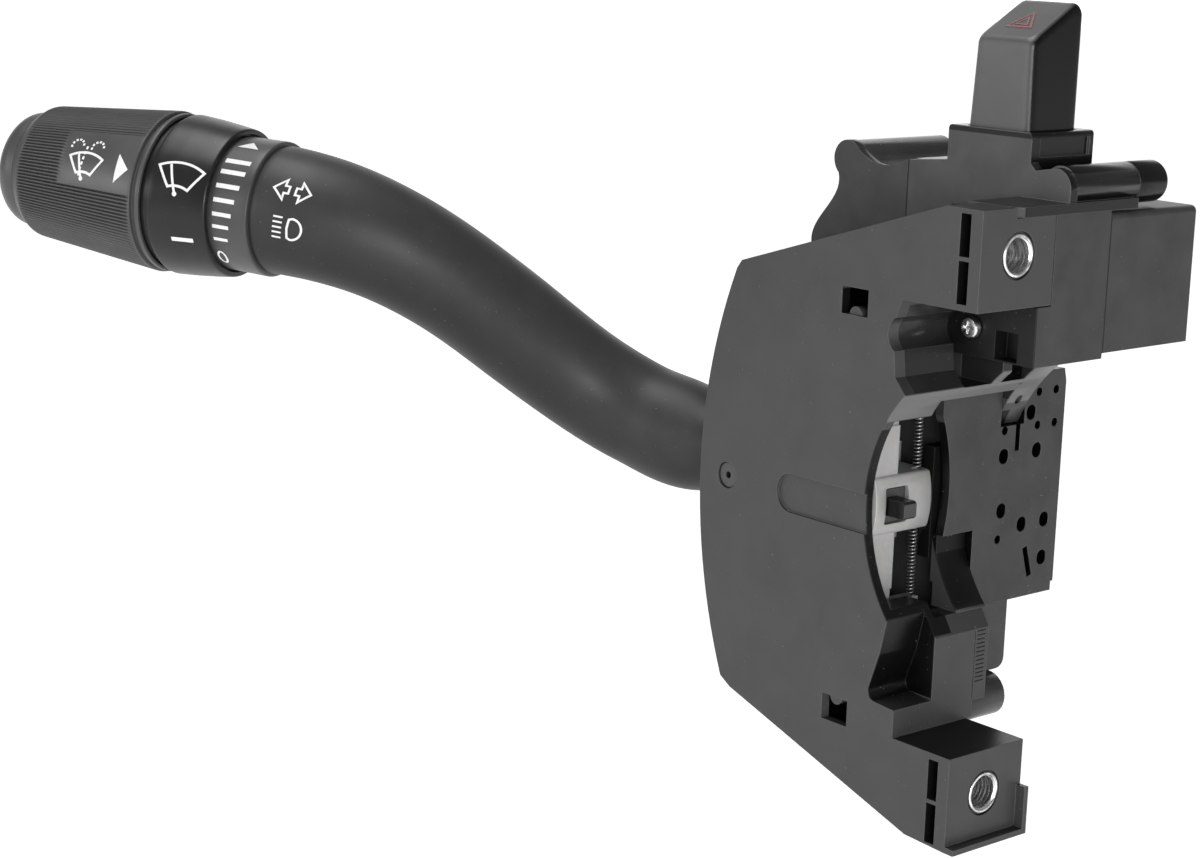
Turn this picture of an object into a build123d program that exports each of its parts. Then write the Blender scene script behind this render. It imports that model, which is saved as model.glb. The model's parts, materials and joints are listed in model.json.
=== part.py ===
from build123d import *
import math
import os

# Combination stalk switch for the steering column of a vehicle.
# X runs to the driver's right, Y away from the driver and Z up. The origin lies halfway between the two
# mounting sleeves, on the face that bolts to the column bracket.

# Mounting
bolt_spacing = 120.0
upper_sleeve = bolt_spacing / 2
sleeve_outer = 9.4
sleeve_bore = 7.4
sleeve_recess_width = 10.5
sleeve_recess_depth = 1.0
block_width = 15.2
block_half_height = 10.1
block_back = 11.4
lower_block_back = 12.2

# Front housing
plate_face = -12.0
plate_wall = 2.5
plate_top = upper_sleeve + 10.2
plate_bottom = -upper_sleeve - 11.5
plate_shoulder = -10.2
plate_corner_x = -72.5
plate_corner_top = plate_top - 19.6
plate_corner_bottom = plate_bottom + 19.2
edge_arc_radius = 128.0
edge_arc_x = -84.0
pivot_x = -74.6
pivot_z = -1.0
column_radius = 38.9
column_x = 9.4
column_z = 1.0
groove_end = -53.0
groove_height = 9.2
groove_depth = 0.8
slot_width = 2.9
slot_height = 9.2
slot_inset = 4.65
slot_gap = 0.9
slot_drop = 0.5
slot_depth = 5.2
window_left = -39.7
window_width = 8.1
window_height = 6.1
window_upper = plate_corner_top - 4.5
window_lower = plate_corner_bottom + 4.0
snap_radius = 1.9
channel_radius = 3.9
channel_x = -21.3
channel_z = upper_sleeve - 19.4
channel_back = 7.0
channel_screw_x = channel_x + 3.9
channel_screw_z = channel_z + 0.9
web_left = -28.4
ledge_top = 27.6
ledge_low = 24.6
upper_saddle_low = 20.8
lower_saddle_top = -21.8
floor_top = -19.5
riser_face = -17.3
riser_back = 14.2
riser_step = -46.0
riser_top = -29.0
pocket_back = 0.4
pocket_low = -upper_sleeve + 16.5
pit_front = 2.3
pit_back = 9.7
pit_floor = -25.0
rear_rib_front = 27.2
rear_rib_back = 35.0
rear_rib_tip = 15.4
rear_rib_hole = 1.1
side_rib_back = 19.4
side_rib_top = -8.4
side_rib_wall = 0.5
stay_front = 16.0
stay_wall = 3.0
stay_right = -16.0
rim_reach = 2.5
rim_wall = 1.3
rim_height = 11.1

# Rear housing
back_face = 16.0
back_wall = 2.4
case_wall = 2.2
case_inset = 1.5
mouth_half = 15.5
box_left = -62.0
box_right = -25.0
box_half_height = 27.0
box_back = 48.5
panel_wall = 2.5
panel_front = 7.4
panel_bow = 3.4
kidney_reach = 2.4
kidney_half = 1.6
kidney_spread = 14.0
kidney_end = 30.0
seat_gap = 0.2
wing_right = -48.2
wing_boss_x = -67.5
wing_boss_z = upper_sleeve + 13.2
wing_boss_radius = 4.4
wing_boss_back = 48.0
lug_width = 7.0
lug_back = 33.3
lug_low = pocket_low + 0.1
lug_corner = 2.5
low_boss_x = -23.0
low_boss_z = pocket_low - 4.2
low_boss_radius = 5.2
low_boss_back = 26.1
screw_shank = 2.2
screw_head = 4.8
screw_head_height = 2.0
post_radius = 4.0
post_x = -62.0
post_upper_z = plate_corner_top - 8.6
post_lower_z = plate_corner_bottom + 10.3
post_hole_depth = 12.0
boss_hole_depth = 9.0

# Connector
connector_left = -26.0
connector_front = 7.0
connector_low = 35.0
connector_joint = 30.0
shroud_back = 60.0
shroud_step = 1.2
shroud_drop = 0.5
socket_wall = 1.9
socket_depth = 22.0
blade_width = 2.8
blade_thickness = 0.8
blade_reach = 15.0
blade_pitch = 5.2
blade_rows = 5
square_hole = 6.4
square_hole_x = -7.9
square_hole_z = connector_low + 3.6
square_hole_depth = 4.0

# Hazard switch
hazard_face = 16.0
hazard_wall = 2.4
hazard_right = -0.4
hazard_low = upper_sleeve + 7.9
base_wall = 2.3
base_front = -1.0
base_back = 39.0
hazard_shelf = hazard_low + 8.3
wing_top = hazard_shelf - 1.2
collar_left = -36.3
collar_right = -12.0
collar_top = hazard_low + 16.3
collar_back = 36.8
collar_corner = 1.0
collar_lip = 1.3
collar_panel_depth = 0.7
lip_groove = 0.5
right_boss_x = -5.3
right_boss_z = hazard_low + 5.1
right_boss_radius = 4.7
right_boss_back = 50.4
cover_joint = 40.0
cover_back = 45.5
button_width = 16.0
button_taper = 2.1
button_depth = 16.3
button_right = -14.3
button_front = hazard_face + 1.5
button_front_top = collar_top + 19.8
button_back_top = collar_top + 27.1
button_flare = 0.7
button_foot = hazard_low + 12.1
button_corner = 1.3
button_wall = 2.0
button_travel = 5.0
plunger_radius = 2.4
spring_wire = 0.8
hazard_spring_radius = 4.4

# Turn carrier
turn_gap = 0.3
carrier_left = -79.5
carrier_right = -42.0
carrier_half_height = 11.5
carrier_wall = 2.4
carrier_back = 12.4
pin_radius = 3.2
pin_gap = 0.05
pin_recess = 0.5
window_block_face = -28.4
window_block_half = 6.8
window_block_bulge = 1.1
pawl_z = 0.0
window_block_back = 8.6
pawl_size = 4.0
pawl_y = -3.75
pawl_reach = 5.2
pawl_room = 12.0
pawl_window_width = 7.4
pawl_window_height = 8.4
pawl_window_y = -2.4
pawl_travel = 3.5
wing_plate_left = -34.0
wing_plate_right = -30.2
wing_plate_back = -1.0
wing_plate_half = 19.0
spring_post_half = 24.0
spring_post_wall = 1.8
spring_x = -31.4
spring_y = 6.5
pawl_spring_radius = 1.05
pawl_spring_wire = 0.4
plunger_bore_y = 10.9
detent_radius = 1.6
detent_length = 7.0
track_gap = 0.3
track_wall = 2.2
track_half = 13.0
finger_x = -49.0
finger_width = 4.0
finger_reach = 22.5
turn_angle = 8.0

# Slider and contacts
slider_left = -57.0
slider_right = -33.0
slider_front = 18.8
slider_back = 25.0
slider_half = 7.0
slot_clearance = 0.35
bridge_wall = 0.6
board_wall = 1.6
rail_wall = 0.5

# Stalk
core_width = 8.0
core_height = 12.0
core_end = -50.0
pull_x = -72.0
pull_pin_radius = 2.0
pull_spring_radius = 3.2
pull_spring_wire = 0.8
pull_spring_length = 4.0
pull_angle = 6.0
root_x = -82.4
root_y = 3.0
root_z = 0.9
root_radius = 10.0
sleeve_radius = 10.7
neck_radius = 13.2
mid_radius = 13.7
stalk_end_radius = 15.8
bend_one = (-157.5, -1.6, 0.0)
bend_reach = 58.06
knob_start = (-170.6, -74.9, 54.65)
knob_yaw = 27.0
knob_rise = 4.1
core_seat = 12.0

# Knob, measured along its own axis from the end of the stalk
scale_length = 12.2
scale_radius = 16.7
spindle_radius = 6.0
spindle_bore = 3.6
spindle_seat = 14.0
spindle_end = 62.0
collar_start = 10.6
collar_end = 26.2
collar_start_radius = 18.3
collar_end_radius = 19.95
collar_hub_wall = 3.0
knob_gap = 2.3
knob_wide_radius = 20.2
knob_narrow_radius = 16.7
knob_end = 69.5
knob_wall = 2.4
rim_ridge = 1.2
rim_groove = 1.1
rim_groove_depth = 0.8
neck_reach = 5.0
neck_drop = 1.4
cap_radius = 14.5
cap_start = 70.6
cap_end = 82.8
washer_travel = 2.0
running = 0.05
hub_length = 7.0
rotor_radius = 13.0
rotor_wall = 2.0
wiper_board_wall = 1.6


def facing_driver(y):
    """Plane across the column at depth y, with x to the right and z up; a negative extrusion runs back."""
    return Plane.XZ.offset(-y)


def facing_column(x):
    """Plane at position x with Y to the right and Z up; a negative extrusion runs to the left."""
    return Plane.YZ.offset(x)


def kidney_point(reach, angle):
    """Point of the kidney-shaped hole, at a distance and angle in degrees from the centre of its bend."""
    turned = math.radians(angle)
    return (reach * math.cos(turned) - kidney_reach, reach * math.sin(turned))


def rect_between(low_u, high_u, low_v, high_v, mode=Mode.ADD):
    """Rectangle in the sketch between two values of each sketch axis."""
    with Locations(((low_u + high_u) / 2, (low_v + high_v) / 2)):
        Rectangle(high_u - low_u, high_v - low_v, mode=mode)


def edge_x(z):
    """Left edge of the plate at height z, on its large arc."""
    drop = math.sqrt(edge_arc_radius**2 - (z - pivot_z) ** 2)
    return edge_arc_x + edge_arc_radius - drop


def tray_top(x):
    """Top edge of the rear tray at position x, parallel to the plate's sloping top edge."""
    sloped = plate_top - plate_slope * (plate_shoulder - x)
    return sloped - case_inset * math.sqrt(1 + plate_slope**2)


def column_edge(z):
    """Position on the column clearance cylinder at height z."""
    return column_x - math.sqrt(column_radius**2 - (z - column_z) ** 2)


block_low = upper_sleeve - block_half_height - 1.4
lower_block_top = -upper_sleeve + block_half_height
plate_slope = (plate_top - plate_corner_top) / (plate_shoulder - plate_corner_x)
plate_back = plate_face + plate_wall
cap_dome = cap_end - cap_start
carrier_front = plate_back + turn_gap
finger_swing = (finger_x - pivot_x) * math.sin(math.radians(turn_angle))
detent_reach = web_left - 0.1 - track_wall - track_gap - pivot_x
plunger_tip = pivot_x + detent_reach
socket_z = (connector_low + shroud_step + hazard_low - shroud_drop) / 2
socket_height = hazard_low - shroud_drop - connector_low - shroud_step - 2 * socket_wall
socket_width = (-connector_left - 3 * socket_wall) / 2
socket_centres = (connector_left + socket_wall + socket_width / 2, -socket_wall - socket_width / 2)
button_middle = button_front + button_depth / 2
button_x = button_right - button_width / 2
plunger_foot = hazard_low + base_wall + button_travel + rail_wall + bridge_wall + 0.3
bridge_half = 3.4
hazard_spring_height = button_foot - hazard_low - base_wall - spring_wire
board_front = slider_back + bridge_wall + turn_gap + rail_wall
panel_back = box_right - panel_wall
side_rib_face = panel_back + side_rib_wall
neck_outer = collar_end_radius - neck_drop
hub_start = scale_length + 0.4
knob_start_s = collar_end + knob_gap
ribs_start = knob_start_s + rim_ridge + rim_groove
skirt_end = collar_end + neck_reach + washer_travel + 0.3
hub_face = spindle_end - hub_length
knob_spring_length = 14.0
knob_heading = Vector(
    -math.cos(math.radians(knob_yaw)) * math.cos(math.radians(knob_rise)),
    -math.sin(math.radians(knob_yaw)) * math.cos(math.radians(knob_rise)),
    math.sin(math.radians(knob_rise)),
)
knob_axis = Axis(knob_start, knob_heading)
bend_two = Vector(*knob_start) - knob_heading * bend_reach
knob_side = Plane(origin=knob_start, x_dir=knob_heading, z_dir=knob_heading.cross(Vector(0, 0, 1)))


def knob_at(along):
    """Plane across the knob's axis, at a distance from the end of the stalk."""
    return Plane(origin=Vector(*knob_start) + knob_heading * along, z_dir=knob_heading)

# Outlines shared by the front housing and its plate
notch_top = block_low
channel_half = channel_radius - 0.2
channel_reach = math.sqrt(channel_radius**2 - channel_half**2)
upper_arc_end = (column_edge(ledge_top), ledge_top)
lower_arc_end = (column_edge(-23.4), -23.4)
pocket_corner = (riser_face - 8.1, pocket_low + 3.6)


# Clearance circle of the steering column
with BuildSketch() as column_circle:
    with Locations((column_x, column_z)):
        Circle(column_radius)

# Opening above the column arc, with the half-round screw channel
with BuildSketch() as upper_notch:
    with BuildLine():
        Polyline(
            (rim_reach, notch_top),
            (channel_x - 0.3, notch_top),
            (channel_x - channel_reach - 0.6, channel_z + channel_half),
        )
        ThreePointArc(
            (channel_x - channel_reach - 0.6, channel_z + channel_half),
            (channel_x - channel_radius, channel_z),
            (channel_x - channel_reach - 0.6, channel_z - channel_half),
        )
        Polyline(
            (channel_x - channel_reach - 0.6, channel_z - channel_half),
            (channel_x - 1.1, channel_z - 9.4),
            upper_arc_end,
            (rim_reach, ledge_top),
            (rim_reach, notch_top),
        )
    make_face()

# Opening of the scoop pocket below the column arc
with BuildSketch() as lower_notch:
    with BuildLine():
        Polyline(
            lower_arc_end,
            (lower_arc_end[0] - 1.8, pocket_low + 11.6),
            pocket_corner,
        )
        pocket_turn = (riser_face - 8.0, pocket_low + 1.5)
        ThreePointArc(pocket_corner, pocket_turn, (riser_face - 6.4, pocket_low + 0.5))
        Polyline(
            (riser_face - 6.4, pocket_low + 0.5),
            (riser_face, pocket_low),
            (rim_reach, pocket_low),
            (rim_reach, lower_arc_end[1]),
            lower_arc_end,
        )
    make_face()

# Outline of the front plate before its openings
with BuildSketch() as body_outline:
    with BuildLine():
        corner_top = (edge_x(plate_corner_top - 2.0), plate_corner_top - 2.0)
        corner_bottom = (edge_x(plate_corner_bottom + 2.0), plate_corner_bottom + 2.0)
        Polyline(
            corner_bottom,
            (plate_corner_x + 1.8, plate_corner_bottom),
            (plate_shoulder - 1.8, plate_bottom + 0.6),
            (0, plate_bottom),
            (0, plate_top),
            (plate_shoulder, plate_top),
            (plate_corner_x, plate_corner_top),
            corner_top,
        )
        ThreePointArc(corner_top, (edge_arc_x, pivot_z), corner_bottom)
    make_face()

# Front housing: plate, mounting blocks, screw channel, saddle ribs and scoop pocket in one moulding
with BuildPart() as front_housing:
    with BuildSketch(facing_driver(plate_face)):
        add(body_outline.sketch_local)
        add(column_circle.sketch_local, mode=Mode.SUBTRACT)
        add(upper_notch.sketch_local, mode=Mode.SUBTRACT)
        add(lower_notch.sketch_local, mode=Mode.SUBTRACT)
        rect_between(riser_face, rim_reach, lower_block_top, pocket_low, Mode.SUBTRACT)
    extrude(amount=-plate_wall)

    # Mounting blocks
    with BuildSketch(facing_driver(plate_back)):
        with BuildLine():
            Polyline(
                (0, block_low),
                (0, plate_top),
                (plate_shoulder, plate_top),
                (-block_width, plate_top - 1.6),
                (-block_width, block_low),
                (0, block_low),
            )
        make_face()
    extrude(amount=-(block_back - plate_back))
    with BuildSketch(facing_driver(plate_back)):
        rect_between(-block_width, 0, plate_bottom + rim_wall, lower_block_top)
        rect_between(riser_face - stay_wall, -block_width, plate_bottom + 4 * rim_wall, lower_block_top)
    extrude(amount=-(lower_block_back - plate_back))
    with BuildSketch(facing_driver(base_front - turn_gap)):
        rect_between(-block_width - 1, 1, hazard_low, plate_top + 1)
    extrude(amount=-(block_back - base_front + turn_gap + 1), mode=Mode.SUBTRACT)

    # Rim below and behind the lower mounting face
    with BuildSketch(facing_driver(plate_face)):
        with BuildLine():
            Polyline(
                (plate_shoulder - 1.8, plate_bottom + 0.6),
                (0, plate_bottom),
                (rim_reach, plate_bottom),
                (rim_reach, plate_bottom + rim_wall),
                (plate_shoulder - 1.8, plate_bottom + 0.6 + rim_wall),
                (plate_shoulder - 1.8, plate_bottom + 0.6),
            )
        make_face()
    extrude(amount=-(lower_block_back - plate_face))
    with BuildSketch(facing_driver(lower_block_back - rim_wall)):
        rect_between(-rim_wall, rim_reach, plate_bottom, plate_bottom + rim_height)
    extrude(amount=-rim_wall)

    # Web that carries the channel, the ledges and the saddle ribs
    with BuildSketch(facing_driver(plate_back)):
        rect_between(web_left, -block_width + 1.0, ledge_low, upper_sleeve)
        add(upper_notch.sketch_local, mode=Mode.SUBTRACT)
        add(column_circle.sketch_local, mode=Mode.SUBTRACT)
    extrude(amount=-(channel_back - plate_back))
    with BuildSketch(facing_driver(plate_back)):
        rect_between(web_left, 0, upper_saddle_low, ledge_top)
        add(column_circle.sketch_local, mode=Mode.SUBTRACT)
    extrude(amount=-(pit_front - plate_back))
    with BuildSketch(facing_driver(pit_front)):
        rect_between(web_left, 0, ledge_low, ledge_top)
        add(column_circle.sketch_local, mode=Mode.SUBTRACT)
    extrude(amount=-(rear_rib_back - pit_front))
    with BuildSketch(facing_driver(stay_front)):
        rect_between(web_left, stay_right, ledge_top, connector_low)
        add(column_circle.sketch_local, mode=Mode.SUBTRACT)
    extrude(amount=-stay_wall)

    # Scoop pocket, riser and pit below the column arc
    with BuildSketch(facing_driver(plate_back)):
        rect_between(web_left, riser_face, lower_block_top, lower_saddle_top)
        add(lower_notch.sketch_local, mode=Mode.SUBTRACT)
        add(column_circle.sketch_local, mode=Mode.SUBTRACT)
    extrude(amount=-(pocket_back - plate_back))
    with BuildSketch(facing_driver(pocket_back)):
        rect_between(web_left, riser_face, lower_block_top, lower_saddle_top)
        add(column_circle.sketch_local, mode=Mode.SUBTRACT)
    extrude(amount=-(pit_front - pocket_back))
    with BuildSketch(facing_driver(pit_front)):
        rect_between(web_left, riser_face, lower_block_top, floor_top)
        add(column_circle.sketch_local, mode=Mode.SUBTRACT)
    extrude(amount=-(back_face + back_wall - pit_front))
    with BuildSketch(facing_driver(pit_front)):
        rect_between(web_left - 1, 0, pit_floor, 0)
    extrude(amount=-(pit_back - pit_front), mode=Mode.SUBTRACT)
    with BuildSketch(facing_driver(riser_back)):
        rect_between(web_left - 1, 0, lower_block_top - 1, riser_step)
        with Locations((low_boss_x, low_boss_z)):
            Circle(low_boss_radius + seat_gap)
    extrude(amount=-(back_face + back_wall - riser_back), mode=Mode.SUBTRACT)
    with BuildSketch(facing_driver(pocket_back)):
        with BuildLine():
            Polyline(
                lower_arc_end,
                (riser_face, riser_top),
                (riser_face + 1, riser_top),
                (riser_face + 1, floor_top),
                (lower_arc_end[0], floor_top),
                lower_arc_end,
            )
        make_face()
    extrude(amount=-(side_rib_back - pocket_back), mode=Mode.SUBTRACT)

    # Seat of the terminal panel and its box
    with BuildSketch(facing_driver(panel_front)):
        rect_between(box_left, box_right, -box_half_height, box_half_height)
    extrude(amount=-(box_back - panel_front), mode=Mode.SUBTRACT)

    # Ribs on the column's circle that reach through the notches of the terminal panel
    with BuildSketch(facing_driver(rear_rib_front)):
        rect_between(panel_back, column_edge(connector_low), rear_rib_tip, connector_low)
        add(column_circle.sketch_local, mode=Mode.SUBTRACT)
    extrude(amount=-(rear_rib_back - rear_rib_front))
    with BuildSketch(facing_driver(pit_back)):
        rect_between(panel_back, riser_face, pit_floor, side_rib_top)
        add(column_circle.sketch_local, mode=Mode.SUBTRACT)
        rect_between(panel_back, side_rib_face, floor_top, side_rib_top)
    extrude(amount=-(side_rib_back - pit_back))
    with BuildSketch(facing_driver(pit_back)):
        rect_between(web_left, side_rib_face, floor_top, side_rib_top)
    extrude(amount=-(back_face - pit_back))
    with BuildSketch(facing_column(0)):
        with Locations(((rear_rib_front + rear_rib_back) / 2, (rear_rib_tip + ledge_top) / 2)):
            Circle(rear_rib_hole)
    extrude(amount=panel_back, mode=Mode.SUBTRACT)

    # Seam and fine ridges along the back of the riser
    with BuildSketch(facing_column(riser_face)):
        rect_between(riser_back - 0.4, riser_back, riser_step + 0.5, lower_saddle_top)
        with Locations((riser_back + 1.8, (riser_step + pit_floor) / 2)):
            with GridLocations(1, 1.0, 1, 13):
                Rectangle(3.0, 0.4)
    extrude(amount=-0.4, mode=Mode.SUBTRACT)

    # Posts for the case screws
    with BuildSketch(facing_driver(plate_back)):
        with Locations((post_x, post_upper_z), (post_x, post_lower_z)):
            Circle(post_radius)
    extrude(amount=-(back_face - plate_back))
    with BuildSketch(facing_driver(back_face)):
        with Locations((post_x, post_upper_z), (post_x, post_lower_z)):
            Circle(screw_shank / 2)
    extrude(amount=post_hole_depth, mode=Mode.SUBTRACT)

    # Openings in the plate
    with BuildSketch(facing_driver(plate_face)):
        for slots_z in (upper_sleeve - slot_drop, -upper_sleeve - 2 * slot_drop):
            for side in (1, -1):
                slot_z = slots_z + side * (slot_height + slot_gap) / 2
                rect_between(
                    -slot_inset - slot_width / 2,
                    -slot_inset + slot_width / 2,
                    slot_z - slot_height / 2,
                    slot_z + slot_height / 2,
                )
    extrude(amount=-slot_depth, mode=Mode.SUBTRACT)
    with BuildSketch(facing_driver(plate_face)):
        for window_z in (window_upper, window_lower):
            rect_between(
                window_left,
                window_left + window_width,
                window_z - window_height / 2,
                window_z + window_height / 2,
            )
        with Locations((pivot_x, pivot_z)):
            Circle(pin_radius)
    extrude(amount=-plate_wall, mode=Mode.SUBTRACT)
    with BuildSketch(facing_driver(plate_face)):
        rect_between(groove_end, 0, pivot_z - groove_height / 2, pivot_z + groove_height / 2)
        with Locations((groove_end, pivot_z)):
            Circle(groove_height / 2)
    extrude(amount=-groove_depth, mode=Mode.SUBTRACT)

    # Bores for the mounting sleeves
    with BuildSketch(facing_column(0)):
        with Locations((0, upper_sleeve), (0, -upper_sleeve)):
            Circle(sleeve_outer / 2)
    extrude(amount=-block_width - 4, mode=Mode.SUBTRACT)
    with BuildSketch(facing_column(0)):
        with Locations((0, upper_sleeve), (0, -upper_sleeve)):
            Circle(sleeve_recess_width / 2)
    extrude(amount=-sleeve_recess_depth, mode=Mode.SUBTRACT)
front_housing.part.label = "front_housing"

# Steel sleeves that take the mounting bolts
with BuildPart() as mount_sleeves:
    with BuildSketch(facing_column(0)):
        with Locations((0, upper_sleeve), (0, -upper_sleeve)):
            Circle(sleeve_outer / 2)
            Circle(sleeve_bore / 2, mode=Mode.SUBTRACT)
    extrude(amount=-block_width)
    mouth_edges = mount_sleeves.edges().filter_by(GeomType.CIRCLE).group_by(Axis.X)[-1]
    chamfer(mouth_edges.sort_by(SortBy.RADIUS)[:2], 0.5)
mount_sleeves.part.label = "mount_sleeves"

# Rear housing: tray behind the plate, deep terminal box, wing with its boss, lug and lower boss
with BuildPart() as rear_housing:
    with BuildSketch(facing_driver(plate_back)):
        offset(body_outline.sketch_local, amount=-case_inset)
        rect_between(web_left, 2 * rim_reach, 2 * plate_bottom, 2 * plate_top, Mode.SUBTRACT)
    extrude(amount=-(back_face + back_wall - plate_back))
    with BuildSketch(facing_driver(plate_back)):
        offset(body_outline.sketch_local, amount=-case_inset - case_wall)
    extrude(amount=-(back_face - plate_back), mode=Mode.SUBTRACT)
    with BuildSketch(facing_driver(plate_back)):
        rect_between(edge_arc_x, post_x - post_radius, pivot_z - mouth_half, pivot_z + mouth_half)
    extrude(amount=-(back_face - plate_back), mode=Mode.SUBTRACT)

    # Deep box that the terminal panel closes
    with BuildSketch(facing_driver(back_face)):
        rect_between(box_left, panel_back, -box_half_height, box_half_height)
    extrude(amount=-(box_back - back_face))
    with BuildSketch(facing_driver(back_face + back_wall)):
        rect_between(
            box_left + case_wall,
            box_right,
            -box_half_height + case_wall,
            box_half_height - case_wall,
        )
    extrude(amount=-(box_back - back_face - back_wall - case_wall), mode=Mode.SUBTRACT)

    # Wing that shows above the plate, with its screw boss
    with BuildSketch(facing_driver(back_face)):
        with BuildLine():
            wing_foot = (wing_boss_x - 10.1, wing_boss_z - 26.2)
            wing_bend = (wing_boss_x - 10.9, wing_boss_z - 20.2)
            wing_neck = (wing_boss_x - wing_boss_radius + 0.1, wing_boss_z - 1.0)
            wing_dip = (wing_boss_x + 8.6, wing_top - 1.6)
            Spline(
                wing_bend,
                (wing_boss_x - 6.4, wing_boss_z - 12.2),
                (wing_boss_x - 2.6, wing_boss_z - 6.0),
                wing_neck,
            )
            RadiusArc(wing_neck, (wing_boss_x + 3.6, wing_boss_z + 2.6), wing_boss_radius)
            Spline((wing_boss_x + 3.6, wing_boss_z + 2.6), wing_dip, (wing_right, wing_top))
            Polyline((wing_right, wing_top), (wing_right, wing_foot[1]), wing_foot, wing_bend)
        make_face()
    extrude(amount=-back_wall)
    with BuildSketch(facing_driver(back_face)):
        with Locations((wing_boss_x, wing_boss_z)):
            Circle(wing_boss_radius)
    extrude(amount=-(wing_boss_back - back_face))

    # Lug and boss below the terminal box
    with BuildSketch(facing_driver(back_face + back_wall)):
        rect_between(box_right - lug_width, box_right, lug_low, -box_half_height)
    extrude(amount=-(lug_back - back_face - back_wall))
    fillet(rear_housing.edges().filter_by(Axis.X).group_by(Axis.Z)[0].sort_by(Axis.Y)[-1], lug_corner)
    with BuildSketch(facing_driver(back_face + back_wall)):
        with Locations((low_boss_x, low_boss_z)):
            Circle(low_boss_radius)
        rect_between(box_right - lug_width, low_boss_x, low_boss_z, lug_low)
    extrude(amount=-(low_boss_back - back_face - back_wall))
    with BuildSketch(facing_driver(riser_back + seat_gap)):
        with Locations((low_boss_x, low_boss_z)):
            Circle(low_boss_radius)
    extrude(amount=-(back_face + back_wall - riser_back - seat_gap))

    # Snap fingers that show in the plate's windows
    for window_z, side in ((window_upper, -1), (window_lower, 1)):
        lip_z = window_z + side * window_height / 2
        snap_x = window_left + window_width / 2
        with BuildSketch(facing_driver(plate_back)):
            rect_between(
                snap_x - snap_radius,
                snap_x + snap_radius,
                lip_z - 1.5 + side * 1.5,
                lip_z + 1.5 + side * 1.5,
            )
        extrude(amount=-(back_face - plate_back))
        with BuildSketch(facing_driver(plate_face + 0.5)):
            with Locations((snap_x, lip_z)):
                Circle(snap_radius)
            rect_between(
                snap_x - 2 * snap_radius,
                snap_x + 2 * snap_radius,
                lip_z + side * snap_radius - snap_radius,
                lip_z + side * snap_radius + snap_radius,
                Mode.SUBTRACT,
            )
        extrude(amount=-plate_wall - 1.0)

    # Pivot hole, finger slot and screw holes in the back wall
    with BuildSketch(facing_driver(back_face)):
        with Locations((pivot_x, pivot_z)):
            Circle(pin_radius)
        with Locations((post_x, post_upper_z), (post_x, post_lower_z)):
            Circle(screw_shank / 2)
        rect_between(
            finger_x - finger_width / 2 - 1.5,
            finger_x + finger_width / 2 + 1.0,
            pivot_z - finger_swing - finger_width / 2 - 1.0,
            pivot_z + finger_swing + finger_width / 2 + 1.0,
        )
    extrude(amount=-back_wall, mode=Mode.SUBTRACT)
    with BuildSketch(facing_driver(wing_boss_back - boss_hole_depth)):
        with Locations((wing_boss_x, wing_boss_z)):
            Circle(screw_shank / 2)
    extrude(amount=-boss_hole_depth, mode=Mode.SUBTRACT)
    with BuildSketch(facing_driver(low_boss_back - boss_hole_depth)):
        with Locations((low_boss_x, low_boss_z)):
            Circle(screw_shank / 2)
    extrude(amount=-boss_hole_depth, mode=Mode.SUBTRACT)
rear_housing.part.label = "rear_housing"

# Kidney-shaped test hole of the terminal panel
with BuildSketch() as kidney:
    with BuildLine():
        ThreePointArc(
            kidney_point(kidney_reach + kidney_half, -kidney_spread),
            kidney_point(kidney_reach + kidney_half, 0),
            kidney_point(kidney_reach + kidney_half, kidney_spread),
        )
        ThreePointArc(
            kidney_point(kidney_reach + kidney_half, kidney_spread),
            kidney_point(kidney_reach, kidney_spread + kidney_end),
            kidney_point(kidney_reach - kidney_half, kidney_spread),
        )
        ThreePointArc(
            kidney_point(kidney_reach - kidney_half, kidney_spread),
            kidney_point(kidney_reach - kidney_half, 0),
            kidney_point(kidney_reach - kidney_half, -kidney_spread),
        )
        ThreePointArc(
            kidney_point(kidney_reach - kidney_half, -kidney_spread),
            kidney_point(kidney_reach, -kidney_spread - kidney_end),
            kidney_point(kidney_reach + kidney_half, -kidney_spread),
        )
    make_face()

# Terminal panel with its round, kidney-shaped and slotted holes
with BuildPart() as terminal_panel:
    with BuildSketch(facing_column(box_right)):
        with BuildLine():
            bow_top = (panel_front, box_half_height - 7.0)
            bow_low = (panel_front, -box_half_height + 12.0)
            ThreePointArc(bow_low, (panel_front + panel_bow, (bow_low[1] + bow_top[1]) / 2), bow_top)
            Polyline(
                bow_top,
                (panel_front, box_half_height),
                (box_back, box_half_height),
                (box_back + 0.8, box_half_height - 3.0),
                (box_back + 0.8, -box_half_height + 2.2),
                (box_back, -box_half_height + 2.2),
                (box_back, -box_half_height),
                (panel_front, -box_half_height),
                bow_low,
            )
        make_face()
        rect_between(
            rear_rib_front - seat_gap,
            rear_rib_back + seat_gap,
            rear_rib_tip - seat_gap,
            box_half_height + 1,
            Mode.SUBTRACT,
        )
        rib_notch_top = side_rib_top + seat_gap
        rect_between(0, side_rib_back + seat_gap, -box_half_height - 1, rib_notch_top, Mode.SUBTRACT)
    extrude(amount=-panel_wall)
    with BuildSketch(facing_column(box_right)):
        with Locations((39.9, 22.2), (45.9, 22.2), (40.0, 14.3), (46.0, 14.3), (28.6, 14.2), (28.4, -11.7)):
            Circle(1.05)
        with Locations(
            (37.4, 17.6),
            (28.7, 8.1),
            (40.2, 8.3),
            (29.0, -4.9),
            (36.5, -9.1),
            (44.5, -9.0),
            (44.5, -18.3),
        ):
            add(kidney.sketch_local)
        with Locations((33.2, 12.4)):
            Rectangle(1.6, 6.9)
        with Locations(Location((39.4, -18.6), 17)):
            Rectangle(1.7, 7.6)
    extrude(amount=-panel_wall, mode=Mode.SUBTRACT)
terminal_panel.part.label = "terminal_panel"

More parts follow.
